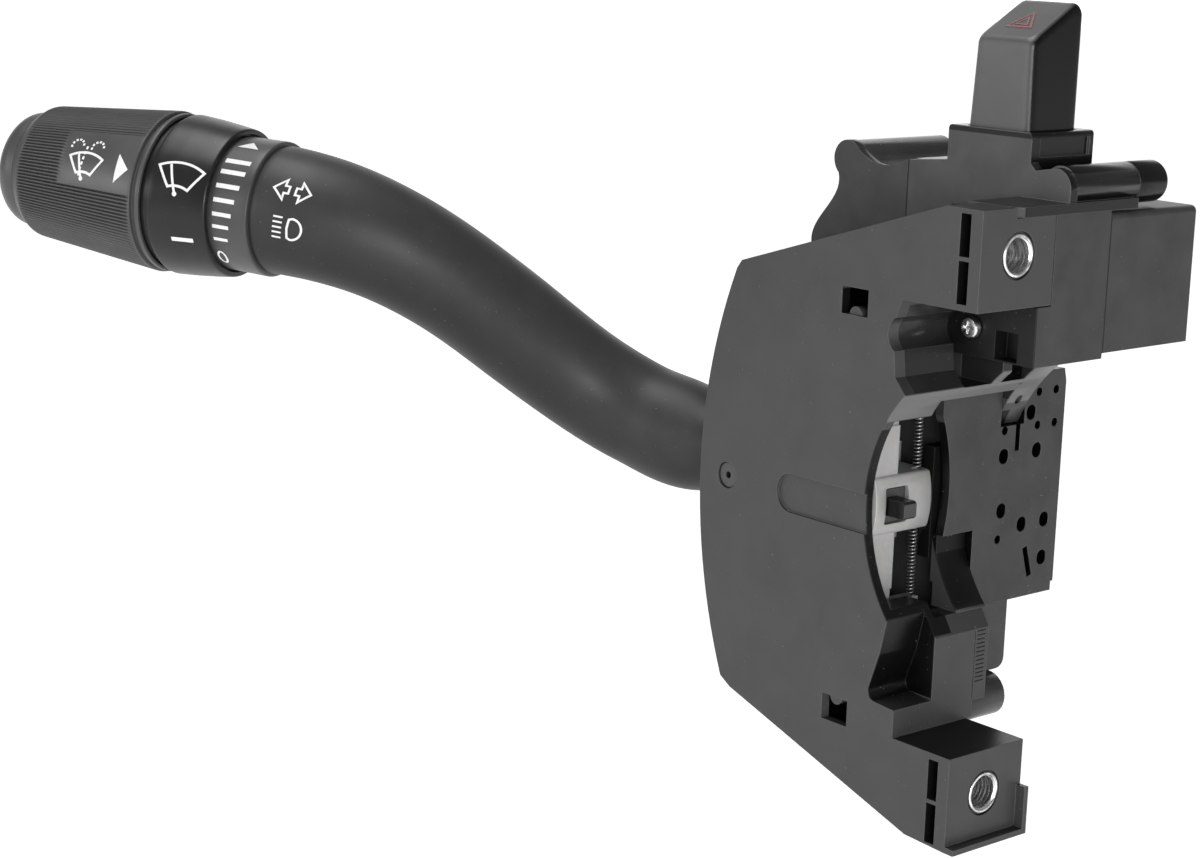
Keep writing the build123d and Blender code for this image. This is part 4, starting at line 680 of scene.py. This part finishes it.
class SWITCH_OT_finishes(bpy.types.Operator):
    """Gives every carried-over solid its finish and rounds the edges of the large mouldings"""

    bl_idname = "switch.finishes"
    bl_label = "Finishes"

    def execute(self, context):
        finish = context.scene.finish_settings
        black = list(finish.black)
        connector_seams = [
            ((-60, y - 0.1, 20), (5, y + 0.35, 90), 0.05, 0.5, None)
            for y in (box_mm("connector_block")[0][1], box_mm("connector_shroud")[0][1])
        ]
        wing_edge = box_mm("hazard_housing")[0][0]
        pin_x, _, pin_z = box_mm("pivot_pins").mean(axis=0)
        everywhere = ((-99, -99, -99), (99, 99, 99))
        # Painted shade: the pin's end keeps the black tone only on a disc 2.75 mm round its axis, and is
        # darker outside it in the recess and in its middle hole
        pin_rings = [
            (*everywhere, share, gloss, (pin_x, pin_z, radius))
            for share, gloss, radius in ((14.0, 0.4, 2.75), (0.3, 0.5, 0.75))
        ]
        hazard_seams = [
            ((wing_edge - 0.1, -30, 60), (wing_edge + 0.45, 60, 95), 0.03, 0.5, None),
            ((-1.8, -0.6, 67.8), (0.1, 1.8, 70.4), 0.1, 0.4, None),
            ((-60, -30, 82.9), (5, 60, 84.0), 0.04, 0.4, None),
        ]
        brass_parts = (
            "connector_terminals", "turn_contacts", "contact_rails", "hazard_contacts", "hazard_bridge",
            "washer_contact",
        )
        # Painted shade: on the housings, the hazard case and the pawl, flats that look other ways than the
        # listed faces get a share of the tone, and the front's boxes paint shade and light
        finishes = {
            "front_housing": moulding(
                "satin_black_plate", black, 0.42, mottle=0.07, dust=0.4, shine=0.22,
                faces=(DRIVER_SIDE, COLUMN_SIDE, BACK_SIDE), patches=FRONT_LIGHT_AND_SHADE,
            ),
            "rear_housing": moulding(
                "satin_black_case", times(black, 0.9), 0.36, dust=0.5, shine=0.25,
                faces=(DRIVER_SIDE, COLUMN_SIDE, BACK_SIDE),
            ),
            "terminal_panel connector_block connector_shroud": moulding(
                "grained_black_panel", times(black, 0.75), 0.46, grain_mm=0.5, depth_mm=0.02, dust=0.45,
                patches=[*connector_seams, PANEL_EDGES, SQUARE_HOLE], shine=0.3,
            ),
            "hazard_housing hazard_cover": moulding(
                "hazard_case_black", times(black, 1.22), 0.4, grain_mm=0.3, dust=0.4, shine=0.28,
                faces=(DRIVER_SIDE, BACK_SIDE), shade=0.08, patches=hazard_seams,
            ),
            "pivot_pins": moulding("pin_end_black", times(black, 0.07), 0.4, patches=pin_rings),
            "cancel_pawl": moulding("pawl_black", black, 0.4, faces=(COLUMN_SIDE,), shade=0.08, shine=0.2),
            "hazard_plunger turn_slider wiper_rotor detent_track": moulding(
                "inner_black", times(black, 0.1), 0.42, shine=0.08
            ),
            "turn_carrier": nylon("milky_nylon", list(finish.nylon)),
            "mount_sleeves case_screws hazard_screws pull_pin": metal(
                "zinc_plated_steel", (0.72, 0.72, 0.72), 0.24
            ),
            "pawl_spring detent_spring pull_spring knob_spring hazard_spring detent_plunger": metal(
                "drawn_spring_wire", (0.42, 0.42, 0.43), 0.32, tarnish=0.3
            ),
            "stalk_core knob_spindle": metal("plain_steel", (0.46, 0.46, 0.46), 0.38),
            " ".join(brass_parts): metal("contact_brass_sheet", (0.72, 0.52, 0.24), 0.3),
            "contact_board wiper_board": moulding(
                "brown_laminate", (0.22, 0.11, 0.05), 0.5, grain_mm=0.8, depth_mm=0.03
            ),
        }
        for wearers, material in finishes.items():
            for name in wearers.split():
                NODES[name].data.materials.clear()
                NODES[name].data.materials.append(material)
        softened = {
            "front_housing": 0.3, "rear_housing": 0.35, "connector_block": 0.35, "connector_shroud": 0.4,
            "hazard_housing": 0.45, "hazard_cover": 0.4, "turn_carrier": 0.25, "cancel_pawl": 0.15,
        }
        for name, width in softened.items():
            weld = NODES[name].modifiers.new("weld", "WELD")
            weld.merge_threshold = 1e-6
            bevel = NODES[name].modifiers.new("edge", "BEVEL")
            bevel.width, bevel.segments = width * MM, 2
            bevel.limit_method, bevel.angle_limit = "ANGLE", np.radians(38)
            bevel.harden_normals = True
        return {"FINISHED"}


class SWITCH_OT_stalk(bpy.types.Operator):
    """Builds the S-bent stalk as one smooth surface"""

    bl_idname = "switch.stalk"
    bl_label = "Stalk"

    def execute(self, context):
        black = list(context.scene.finish_settings.black)
        t = np.concatenate([np.zeros(1), np.linspace(0, 1, 180), np.ones(1)])[:, None]
        angle = np.linspace(0, 2 * np.pi, 112, endpoint=False)[None, :]
        lift = np.zeros_like(t)
        lift[0] = -stalk_radius(t[0])
        lift[-1] = -stalk_radius(t[-1])
        lift[-2] = -0.35
        stalk = grid_object("stalk_skin", stalk_point(t, lift, angle))
        sharp_by_angle(stalk, 50)
        # The stalk's down-facing flats get painted shade, 0.16 of its tone
        skin = moulding(
            "stalk_black_skin", times(black, 0.66), 0.46, grain_mm=0.42, depth_mm=0.02, mottle=0.1,
            dust=0.25, shine=0.25, below=0.16,
        )
        dress(stalk, skin, "lever", "stalk_black", "stalk")
        return {"FINISHED"}


class SWITCH_OT_scale_ring(bpy.types.Operator):
    """Builds the ring that carries the wiper scale"""

    bl_idname = "switch.scale_ring"
    bl_label = "Scale ring"

    def execute(self, context):
        black = list(context.scene.finish_settings.black)
        corners = [
            (0, SPINDLE_RADIUS, 0), (0, SCALE_RADIUS, 0.6), (SCALE_LENGTH, SCALE_RADIUS - SCALE_TAPER, 0.3),
            (SCALE_LENGTH, SPINDLE_RADIUS, 0), (0, SPINDLE_RADIUS, 0),
        ]
        ring = turned("scale_ring_skin", refined(rounded_profile(corners), 2.0))
        sharp_by_angle(ring, 40)
        tone = times(black, 0.95)
        skin = moulding("scale_ring_black", tone, 0.4, grain_mm=0.4, mottle=0.1, dust=0.2)
        dress(ring, skin, "lever", "stalk_black", "scale_ring")
        return {"FINISHED"}


class SWITCH_OT_collar(bpy.types.Operator):
    """Builds the turning wiper collar"""

    bl_idname = "switch.collar"
    bl_label = "Wiper collar"

    def execute(self, context):
        knob = list(context.scene.finish_settings.knob)

        # Radii of its mouth, its neck under the knob, its bore and its hub, then where neck and hub end
        mouth, neck, bore, hub = 17.1, 18.55, 16.2, SPINDLE_RADIUS + 0.05
        neck_end, hub_start, hub_end = 31.2, 12.6, 15.6
        corners = [
            (COLLAR_START, mouth, 0), *zip(COLLAR_STATIONS, COLLAR_RADII, (0.7, 8.0, 12.0, 0.9)),
            (COLLAR_END, neck, 0.15), (neck_end, neck, 0.2), (neck_end, bore, 0.2), (hub_end, bore, 0.2),
            (hub_end, hub, 0), (hub_start, hub, 0), (hub_start, mouth, 0), (COLLAR_START, mouth, 0),
        ]
        collar = turned("wiper_collar_skin", refined(rounded_profile(corners), 1.5))
        sharp_by_angle(collar, 40)
        skin = moulding(
            "collar_satin_black", times(knob, 0.3), 0.34, grain_mm=0.3, depth_mm=0.008, mottle=0.1, dust=0.25,
            shine=0.3,
        )
        dress(collar, skin, "collar", "collar_black", "wiper_collar")
        return {"FINISHED"}


def knob_radius(along):
    """Outer radius of the ribbed knob: a straight taper from its wide end to its narrow end."""
    return KNOB_WIDE + (KNOB_NARROW - KNOB_WIDE) * (along - RIBS_START) / (TAPER_END - RIBS_START)


def smooth_step(value, low, high):
    """0 below low, 1 above high and a smooth cubic between."""
    t = np.clip((value - low) / (high - low), 0, 1)
    return t * t * (3 - 2 * t)


class SWITCH_OT_knob(bpy.types.Operator):
    """Builds the ribbed washer knob with its smooth patch for the sign"""

    bl_idname = "switch.knob"
    bl_label = "Washer knob"

    def execute(self, context):
        settings = context.scene.stalk_settings
        depth = settings.rib_depth / MM
        count = settings.rib_count

        # The smooth patch under the sign: middle and half width in degrees, and its end along the axis
        patch_middle, patch_half, patch_end = 25.0, 22.4, 53.2

        def relief(along, angle):
            """Grooves between ribs: a sharpened cosine round the knob, fading at its ends and its patch."""
            turn = np.mod(np.degrees(angle) + 180, 360) - 180
            wave = (0.5 - 0.5 * np.cos(count * angle)) ** 1.5
            ends = smooth_step(along, RIBS_START + 0.2, RIBS_START + 0.9)
            ends = ends * (1 - smooth_step(along, RIBS_END - 0.6, RIBS_END))
            beside = smooth_step(np.abs(turn - patch_middle), patch_half, patch_half + 0.8)
            beyond = smooth_step(along, patch_end, patch_end + 0.6)
            return -depth * wave * ends * np.maximum(beside, beyond)

        # Radii of its mouth, of the band round it and of the channel behind the band, then where the band,
        # the wide mouth and the hollow end
        mouth, band, channel = 18.95, 19.75, 19.05
        band_end, mouth_end, hollow_end = KNOB_EDGE + 1.2, 33.5, KNOB_END - 3.4
        outer = [
            (KNOB_EDGE, mouth, 0), (KNOB_EDGE, band, 0.35), (band_end, band, 0.35),
            (band_end + 0.05, channel, 0.12), (RIBS_START - 0.05, channel, 0.12),
            (RIBS_START, KNOB_WIDE, 0.4), (TAPER_END, KNOB_NARROW, 3.0),
            (KNOB_END, KNOB_NARROW - 2.2, 0.6), (KNOB_END, 0.01, 0),
        ]
        inner = [
            (hollow_end, 0.01), (hollow_end, 14.0), (36.0, 17.3), (mouth_end, 17.6), (mouth_end, mouth)
        ]
        front = refined(rounded_profile(outer), 0.9)
        profile = np.concatenate([front, np.array(inner), front[:1]])
        ribs = (np.arange(len(profile)) < len(front))[:, None]
        angle = np.linspace(0, 2 * np.pi, count * 6, endpoint=False)[None, :]
        along, radius = profile[:, :1], profile[:, 1:]
        knob = grid_object("washer_knob_skin", on_knob(along, radius + ribs * relief(along, angle), angle))
        # Groove depth on each point, kept on the mesh for the painted shade in the grooves
        arm = vertex_spots(knob.data) - KNOB_START
        along = arm @ KNOB_AXIS
        groove = -relief(along, np.arctan2(arm @ UP, arm @ OUT)) / depth
        knob.data.attributes.new("groove", "FLOAT", "POINT").data.foreach_set("value", groove)
        sharp_by_angle(knob, 60)
        # Painted light: the knob is toned 1.75 times the knob colour, as the light falling on it from the
        # left
        tone = times(context.scene.finish_settings.knob, 1.75)
        skin = moulding(
            "ribbed_knob_black", tone, 0.4, grain_mm=0.3, depth_mm=0.006, mottle=0.1, dust=0.3, round_mm=0.1,
            shade_grooves=True,
        )
        dress(knob, skin, "washer", "knob_black", "washer_knob")
        return {"FINISHED"}


class SWITCH_OT_cap(bpy.types.Operator):
    """Builds the smooth dome on the end of the knob"""

    bl_idname = "switch.cap"
    bl_label = "Knob cap"

    def execute(self, context):
        sweep = np.linspace(0, np.pi / 2, 28)
        along = CAP_START + (CAP_END - CAP_START) * np.sin(sweep)
        dome = np.stack([along, CAP_RADIUS * np.cos(sweep)], axis=1)
        base = np.array([(KNOB_END, 0.0), (KNOB_END, CAP_RADIUS)])
        cap = turned("knob_cap_skin", np.concatenate([base, dome]))
        sharp_by_angle(cap, 60)
        # Painted light: the cap is toned 1.6 times the knob colour, as the light falling on it from the left
        tone = times(context.scene.finish_settings.knob, 1.6)
        skin = moulding("cap_satin_black", tone, 0.38, grain_mm=0.3, depth_mm=0.008, mottle=0.1, dust=0.3)
        dress(cap, skin, "washer", "collar_black", "knob_cap")
        return {"FINISHED"}


class SWITCH_OT_signs(bpy.types.Operator):
    """Prints the signs on the stalk, the scale ring, the collar, the knob and the hazard button"""

    bl_idname = "switch.signs"
    bl_label = "Printed signs"

    def execute(self, context):
        finish = context.scene.finish_settings
        line = context.scene.stalk_settings.line_width / MM
        white = print_ink("white_pad_print", list(finish.ink), 0.18)
        red = print_ink("red_pad_print", list(finish.warning), 0.35)

        def round_size(*profile):
            """Outer radius at a distance along the axis, read from stations and their radii."""
            return lambda along: np.interp(along, *profile)

        def stamp(name, grids, place, body, slot_name, ink=white):
            """Lays a sign on its piece and prints it."""
            dress(laid(name, grids, place), ink, body, slot_name)

        ring = round_size((0, SCALE_LENGTH), (SCALE_RADIUS, SCALE_RADIUS - SCALE_TAPER))
        collar = round_size(COLLAR_STATIONS, COLLAR_RADII)

        # Scale on the ring: an arrow, seven bars that grow upwards and a nought
        grids = []
        place = on_barrel(0.0, 0.0, ring)
        bar_angles = (-24.0, -12.4, -1.8, 10.0, 22.0, 34.6, 45.4)
        bar_ends = (5.5, 4.9, 4.15, 3.6, 2.95, 2.6, 2.4)
        for step, (angle, right) in enumerate(zip(bar_angles, bar_ends)):
            y = np.radians(angle) * SCALE_RADIUS
            half = 0.42 + 0.035 * step
            grids.append(bar(-9.45, -right, y - half, y + half))
        peak = (-6.1, np.radians(73.0) * SCALE_RADIUS)
        foot = np.radians(63.3) * SCALE_RADIUS
        grids.append(filled(edge_line((-9.0, foot), peak), edge_line((-3.2, foot), peak)))
        turn = np.linspace(0, 2 * np.pi, 28, endpoint=False)
        nought_y = np.radians(-44.6) * SCALE_RADIUS
        nought = np.stack([-8.6 + 1.05 * np.cos(turn), nought_y + 2.05 * np.sin(turn)], axis=1)
        grids.append(ribbon(nought, line * 0.9, closed=True))
        stamp("scale_marks", grids, place, "lever", "stalk_black")

        # Wiper sign and pointer on the collar
        stamp("collar_sign", wiper_sign(0.86, line), on_barrel(18.7, 22.6, collar), "collar", "collar_black")
        pointer = bar(-2.9, 2.9, -0.55, 0.55)
        stamp("collar_pointer", [pointer], on_barrel(16.8, -24.7, collar), "collar", "collar_black")

        # Washer sign and pointer on the knob's smooth patch
        place = on_barrel(46.1, 20.5, knob_radius)
        grids = wiper_sign(0.72, line)
        for centre in ((-3.3, 4.2), (2.9, 4.2)):
            for start in np.arange(8, 180, 34):
                grids.append(ribbon(arc(centre, 1.75, start, start + 20, 4), line))
        spray = np.array(((-0.2, 4.4), (-0.9, -3.6)))
        for start in np.arange(0, 1, 0.17):
            grids.append(ribbon(spray[0] + (spray[1] - spray[0]) * np.array([[start], [start + 0.1]]), line))
        stamp("washer_sign", grids, place, "washer", "knob_black")
        place = on_barrel(34.2, 20.3, knob_radius)
        arrow = filled(edge_line((-1.9, -3.7), (-1.9, 3.7)), edge_line((1.8, 0.0), (1.8, 0.0)))
        stamp("washer_pointer", [arrow], place, "washer", "knob_black")

        # Turn arrows and high beam sign on the stalk
        grids = []
        for side in (-1, 1):
            upper = np.array([(0.75, 0.9), (1.75, 0.9), (1.75, 2.5)])
            arrow = np.concatenate([upper, [(4.1, 0.0)], upper[::-1] * (1, -1)])
            grids.append(ribbon(arrow * (side, 1), line * 0.78, closed=True))
        stamp("turn_arrows", grids, on_stalk(8.55, 29.5), "lever", "stalk_black")
        bulge = arc((0.0, 0.0), 2.6, 90, -90, 16) * (0.95, 1.0)
        lamp = np.concatenate([bulge, [(-0.75, -2.25), (-1.0, 0.0), (-0.75, 2.25)]])
        grids = [ribbon(lamp + (1.0, 0.0), line * 0.85, closed=True)]
        for height in np.linspace(-2.5, 2.5, 5):
            grids.append(ribbon([(-3.4, height), (-1.25, height)], line * 0.7))
        stamp("high_beam_sign", grids, on_stalk(9.2, -4.6), "lever", "stalk_black")

        # Warning triangle on the slanted top of the hazard button
        spot = (-22.3, 22.9, 107.45)

        def on_button(x, y, lift):
            """x across the button and y up its slanted top, lifted square to it."""
            up = y * np.sin(BUTTON_SLOPE) + lift * np.cos(BUTTON_SLOPE)
            back = y * np.cos(BUTTON_SLOPE) - lift * np.sin(BUTTON_SLOPE)
            return np.stack([spot[0] + x, spot[1] + back, spot[2] + up], axis=-1)

        triangles = ((3.9, 0.5), (1.9, 0.42))
        grids = [ribbon(arc((0.0, 0.0), size, 90, 330, 3), wide, closed=True) for size, wide in triangles]
        stamp("hazard_sign", grids, on_button, "hazard", "hazard_button_black", red)
        return {"FINISHED"}


class SWITCH_OT_pawl_spring(bpy.types.Operator):
    """Winds the long spring that stands behind the carrier's window"""

    bl_idname = "switch.pawl_spring"
    bl_label = "Pawl spring"

    def execute(self, context):
        pitch = context.scene.stalk_settings.coil_pitch / MM
        low, high = box_mm("pawl_spring")
        centre = (low + high) / 2
        radius = (high[0] - low[0]) / 2 - WIRE_RADIUS
        bottom, top = low[2] + WIRE_RADIUS, high[2] - WIRE_RADIUS
        turns, steps_per_turn = (top - bottom) / pitch, 14
        sweep = np.linspace(0, 2 * np.pi * turns, int(turns * steps_per_turn))[:, None]
        ring = np.linspace(0, 2 * np.pi, 7, endpoint=False)[None, :]
        spoke = radius + WIRE_RADIUS * np.cos(ring)
        x, y = centre[0] + spoke * np.cos(sweep), centre[1] + spoke * np.sin(sweep)
        z = bottom + (top - bottom) * sweep / sweep[-1] + WIRE_RADIUS * np.sin(ring)
        coil = grid_object("pawl_coil", np.stack([x, y, z], axis=-1))
        capped = bmesh.new()
        capped.from_mesh(coil.data)
        bmesh.ops.holes_fill(capped, edges=capped.edges)
        capped.to_mesh(coil.data)
        capped.free()
        wire_finish = metal("pawl_spring_wire", (0.3, 0.3, 0.3), 0.28, tarnish=0.3, bare=0.8)
        dress(coil, wire_finish, "carrier", "spring_steel", "pawl_spring")
        return {"FINISHED"}


class SWITCH_OT_sleeves(bpy.types.Operator):
    """Turns the two steel mounting sleeves with rolled mouths and drawn bores"""

    bl_idname = "switch.sleeves"
    bl_label = "Mounting sleeves"

    def execute(self, context):
        low, high = box_mm("mount_sleeves")
        inner, outer = SLEEVE_BORE, (high[1] - low[1]) / 2
        back, front = low[0], high[0]
        groove, mouth = 0.16, 0.45
        corners = [
            (front, inner + mouth, 0), (front, outer, 0.35), (back, outer, 0.2), (back, inner, 0.2),
            (front - mouth, inner, 0.1), (front, inner + mouth, 0),
        ]
        profile = refined(rounded_profile(corners), 0.25)
        both = []
        for z in (SLEEVE_HEIGHT, -SLEEVE_HEIGHT):

            def place(along, radius, angle):
                """Round the sleeve's own axis, with a fine thread-like groove in its bore."""
                along, radius, angle = np.broadcast_arrays(along, radius, angle)
                bore = (radius < inner + 0.02) & (along < front - 0.8)
                wave = 0.5 - 0.5 * np.cos(2 * np.pi * along + angle)
                radius = radius + np.where(bore, groove * wave, 0.0)
                return np.stack([along, radius * np.cos(angle), z + radius * np.sin(angle)], axis=-1)

            both.append(turned("sleeve_upper" if z > 0 else "sleeve_lower", profile, 96, place))
        # Tarnish stretched along the axis gives rings of darker and paler tone round the sleeves and bores:
        # painted shade and highlights of their thread-like rings
        rings = (7.0, 0.5, 0.5)
        bright = metal("bright_sleeve_steel", (1.0, 1.0, 1.0), 0.22, stretch=rings, tarnish=0.75, bare=0.92)
        for sleeve in both:
            sharp_by_angle(sleeve, 35)
            dress(sleeve, bright, "housing", "bright_steel", "mount_sleeves")
        return {"FINISHED"}


class SWITCH_OT_screws(bpy.types.Operator):
    """Turns the small case screws, with a softly domed head and a cross recess"""

    bl_idname = "switch.screws"
    bl_label = "Case screws"

    def execute(self, context):
        spots = vertex_spots(NODES["case_screws"].data)
        bright = metal("bright_screw_steel", (0.75, 0.75, 0.75), 0.22, tarnish=0.2)
        count = 0

        # Thickness of the head, depth of its rim and height of its dome, and radius of the shank
        head, rim, dome, shank = 1.7, 0.75, 0.22, 1.1

        # Depth of the cross recess, and the ramps at the sides and at the ends of its arms
        recess, arm_sides, arm_ends = 0.7, (0.22, 0.36), (1.3, 1.5)
        while len(spots):
            near = np.hypot(spots[:, 0] - spots[0, 0], spots[:, 2] - spots[0, 2]) < 6.0
            own, spots = spots[near], spots[~near]
            low, high = own.min(axis=0), own.max(axis=0)
            axis_x, axis_z = (low[0] + high[0]) / 2, (low[2] + high[2]) / 2
            size = (high[0] - low[0]) / 2
            wide = own[np.hypot(own[:, 0] - axis_x, own[:, 2] - axis_z) > 0.8 * size]
            faces_driver = wide[:, 1].mean() < (low[1] + high[1]) / 2
            top, inward = (low[1], 1.0) if faces_driver else (high[1], -1.0)
            reach = high[1] - low[1]

            # Rows of depth and radius: the shank and the head's side, then rings of its top to the middle
            side = [(reach, 0.0), (reach, shank), (head, shank), (head, size)]
            side += [(rim, size), (0.45, size - 0.12)]
            crown = [(dome * (r / size) ** 2, r) for r in np.linspace(size - 0.3, 0.0, 22)]
            depth, radius = np.array(side + crown).T[:, :, None]
            angle = np.linspace(0, 2 * np.pi, 72, endpoint=False)[None, :]
            u, v = radius * np.cos(angle), radius * np.sin(angle)
            cross = 1 - smooth_step(np.minimum(abs(u), abs(v)), *arm_sides)
            cross = cross * (1 - smooth_step(np.maximum(abs(u), abs(v)), *arm_ends))
            cross[: len(side)] = 0.0
            y = top + inward * (depth + recess * cross)
            points = np.stack([axis_x + u, y, axis_z + v], axis=-1)
            screw = grid_object(f"case_screw_{count}", points)
            sharp_by_angle(screw, 35)
            dress(screw, bright, "housing", "bright_steel", "case_screws")
            count += 1
        return {"FINISHED"}


class SWITCH_OT_hazard_button(bpy.types.Operator):
    """Builds the tall hazard button with its slanted, softly rounded top"""

    bl_idname = "switch.hazard_button"
    bl_label = "Hazard button"

    def execute(self, context):
        (left, front, foot), (right, back, peak) = box_mm("hazard_button")
        corner = 2.0
        quarter = np.linspace(0, np.pi / 2, 7)
        ring = []
        sides, ends = (left + corner, right - corner), (front + corner, back - corner)
        for turn_step, (side, end) in enumerate(((1, 1), (0, 1), (0, 0), (1, 0))):
            x, y = sides[side], ends[end]
            angle = quarter + turn_step * np.pi / 2
            ring.append(np.stack([x + corner * np.cos(angle), y + corner * np.sin(angle)], axis=1))
        ring = refined(np.concatenate(ring + [ring[0][:1]]), 1.2)[:-1]
        middle = np.array(((left + right) / 2, (front + back) / 2))

        # Taper and draft of its sides above the collar, softness of its rim, and the shape of its top
        taper, draft, collar_top, soft = 2.1, 0.5, 84.2, 1.5
        front_height, roll_length, roll_drop = 104.0, 4.4, 4.6

        def top(y):
            """Height of the top: a slope of 30 degrees that rolls over at the back."""
            slope = front_height + np.tan(BUTTON_SLOPE) * (y - front - 0.2)
            roll = np.maximum(0.0, y - (back - roll_length)) / roll_length
            return slope - roll_drop * roll**2.4

        rows = []
        for level in np.linspace(0, 1, 24):
            z = foot + (top(ring[:, 1]) - soft - foot) * level
            rows.append(np.column_stack([ring, z]))
        for bend in np.linspace(0.15, 1, 7) * np.pi / 2:
            inset = soft * (1 - np.cos(bend))
            spot = middle + (ring - middle) * (1 - inset / np.array(((right - left) / 2, (back - front) / 2)))
            rows.append(np.column_stack([spot, top(spot[:, 1]) - soft + soft * np.sin(bend)]))
        rim = rows[-1][:, :2]
        for share in np.linspace(0.9, 0, 12):
            spot = middle + (rim - middle) * share
            rows.append(np.column_stack([spot, top(spot[:, 1])]))

        # Cavity in the underside with room for the return spring: its share of the outline and its height
        cavity_share, cavity_height = 0.78, 12.0
        hollow = rows[0].copy()
        hollow[:, :2] = middle + cavity_share * (ring - middle)
        roof = hollow + (0.0, 0.0, cavity_height)
        base = roof.copy()
        base[:, :2] = middle
        points = np.stack([base, roof, hollow] + rows)
        climb = np.clip((points[..., 2] - collar_top) / (peak - collar_top), 0, 1)
        across = (right - points[..., 0]) / (right - left)
        points[..., 0] += taper * climb * across
        points[..., 1] += np.where(points[..., 1] < middle[1], draft * (1 - climb), 0.0)
        cap = grid_object("hazard_button_skin", points)
        sharp_by_angle(cap, 50)
        # Painted shade: the button's sides get 0.04 of its tone, while its front and slanted top keep it
        skin = moulding(
            "button_smooth_black", (0.085, 0.085, 0.086), 0.34, grain_mm=0.3, depth_mm=0.005, mottle=0.05,
            dust=0.1, faces=(DRIVER_SIDE, SLANTED_TOP), shade=0.04, shine=0.2,
        )
        dress(cap, skin, "hazard", "hazard_button_black", "hazard_button")
        return {"FINISHED"}


class SWITCH_OT_stage(bpy.types.Operator):
    """Sets the pale floor, the soft lights and the camera at the photograph's angle"""

    bl_idname = "switch.stage"
    bl_label = "Studio"

    def execute(self, context):
        stage = context.scene.stage_settings
        scene = context.scene
        bottom = CAD_BOX[0][2] - stage.floor_drop
        size = 6.0
        mesh = bpy.data.meshes.new("floor")
        corners = [(x * size, y * size, bottom) for x, y in ((-1, -1), (1, -1), (1, 1), (-1, 1))]
        mesh.from_pydata(corners, [], [(0, 1, 2, 3)])
        floor = bpy.data.objects.new("floor", mesh)
        scene.collection.objects.link(floor)
        material, tree, shader, coords = new_material("pale_paper")
        fibre = ranged(tree, noise(tree, coords, 40.0), 0.3, 0.7, 0.0, 1.0)
        reach = vector_math(tree, "LENGTH", coords)
        paper = {
            "Base Color": mixed(tree, fibre, (0.9, 0.9, 0.9), (0.93, 0.93, 0.93)),
            "Emission Color": (1.0, 1.0, 1.0, 1.0),
            "Emission Strength": ranged(tree, reach, 0.3, 1.4, stage.floor_glow * 0.4, stage.floor_glow),
            "Roughness": 0.9,
        }
        plug(tree, shader, paper)
        mesh.materials.append(material)

        world = bpy.data.worlds.new("studio_room")
        world.use_nodes = True
        room = world.node_tree
        level_ahead = (-0.767, 0.642, 0.0)
        looks = node(room, "ShaderNodeTexCoord").outputs["Generated"]
        toward = vector_math(room, "DOT_PRODUCT", looks, level_ahead)
        wall = ranged(room, toward, 0.72, 0.9, stage.room, stage.backdrop)
        plug(room, room.nodes["Background"], {"Color": (1.0, 1.0, 1.0, 1.0), "Strength": wall})
        scene.world = world
        scene.view_settings.view_transform = "Standard"

        # Name, place, target, width and power of each lamp
        lamps = (
            ("overhead", (-0.3, -0.2, 0.95), (0, 0, 0), 0.7, stage.key_power),
            ("left_front", (-0.55, -1.15, 0.25), (-0.1, 0, 0.02), 0.6, stage.fill_power * 0.5),
            ("right_front", (0.75, -0.55, 0.12), (-0.02, 0, 0.0), 0.5, stage.fill_power),
        )
        for name, spot, target, width, power in lamps:
            light = bpy.data.lights.new(name, "AREA")
            light.shape, light.energy = "RECTANGLE", power
            light.size, light.size_y = width, width * 0.6
            lamp = bpy.data.objects.new(name, light)
            aim = (Vector(spot) - Vector(target)).to_track_quat("Z", "Y").to_matrix().to_4x4()
            lamp.matrix_world = Matrix.Translation(spot) @ aim
            scene.collection.objects.link(lamp)

        camera_data = bpy.data.cameras.new("photo_camera")
        camera_data.sensor_fit, camera_data.sensor_width = "HORIZONTAL", 36.0
        camera_data.lens, camera_data.clip_start = 73.23, 0.01
        camera = bpy.data.objects.new("photo_camera", camera_data)

        # Camera solved from the straight edges of the plate, the blocks and the panel
        right = (0.637153, 0.770204, 0.028670)
        up = (-0.180614, 0.113044, 0.977036)
        back = (0.749276, -0.627700, 0.211136)
        centre = (0.336831, -0.396225, 0.130658)
        camera.matrix_world = Matrix((*zip(right, up, back, centre), (0, 0, 0, 1)))
        scene.collection.objects.link(camera)
        scene.camera = camera
        return {"FINISHED"}


OPERATORS = (
    SWITCH_OT_finishes, SWITCH_OT_stalk, SWITCH_OT_scale_ring, SWITCH_OT_collar, SWITCH_OT_knob,
    SWITCH_OT_cap, SWITCH_OT_signs, SWITCH_OT_pawl_spring, SWITCH_OT_sleeves, SWITCH_OT_screws,
    SWITCH_OT_hazard_button, SWITCH_OT_stage,
)
GROUPS = (
    ("stalk_settings", StalkSettings),
    ("finish_settings", FinishSettings),
    ("stage_settings", StageSettings),
)


class SWITCH_PT_sidebar(bpy.types.Panel):
    """Lists the settings and the pieces"""

    bl_idname = "SWITCH_PT_sidebar"
    bl_label = "Stalk switch"
    bl_space_type = "VIEW_3D"
    bl_region_type = "UI"
    bl_category = "Stalk switch"

    def draw(self, context):
        for attribute, _ in GROUPS:
            group = getattr(context.scene, attribute)
            box = self.layout.box()
            for name in group.__annotations__:
                box.prop(group, name)
        for operator in OPERATORS:
            self.layout.operator(operator.bl_idname)


def register():
    """Registers the settings, the operators and the panel."""
    for name, group in GROUPS:
        bpy.utils.register_class(group)
        setattr(bpy.types.Scene, name, bpy.props.PointerProperty(type=group))
    for made in (*OPERATORS, SWITCH_PT_sidebar):
        bpy.utils.register_class(made)


def unregister():
    """Takes back what register did."""
    for made in (SWITCH_PT_sidebar, *reversed(OPERATORS)):
        bpy.utils.unregister_class(made)
    for name, group in reversed(GROUPS):
        delattr(bpy.types.Scene, name)
        bpy.utils.unregister_class(group)


def main():
    """Builds the whole scene."""
    register()
    for operator in OPERATORS:
        area, name = operator.bl_idname.split(".")
        getattr(getattr(bpy.ops, area), name)()


if __name__ == "__main__":
    main()
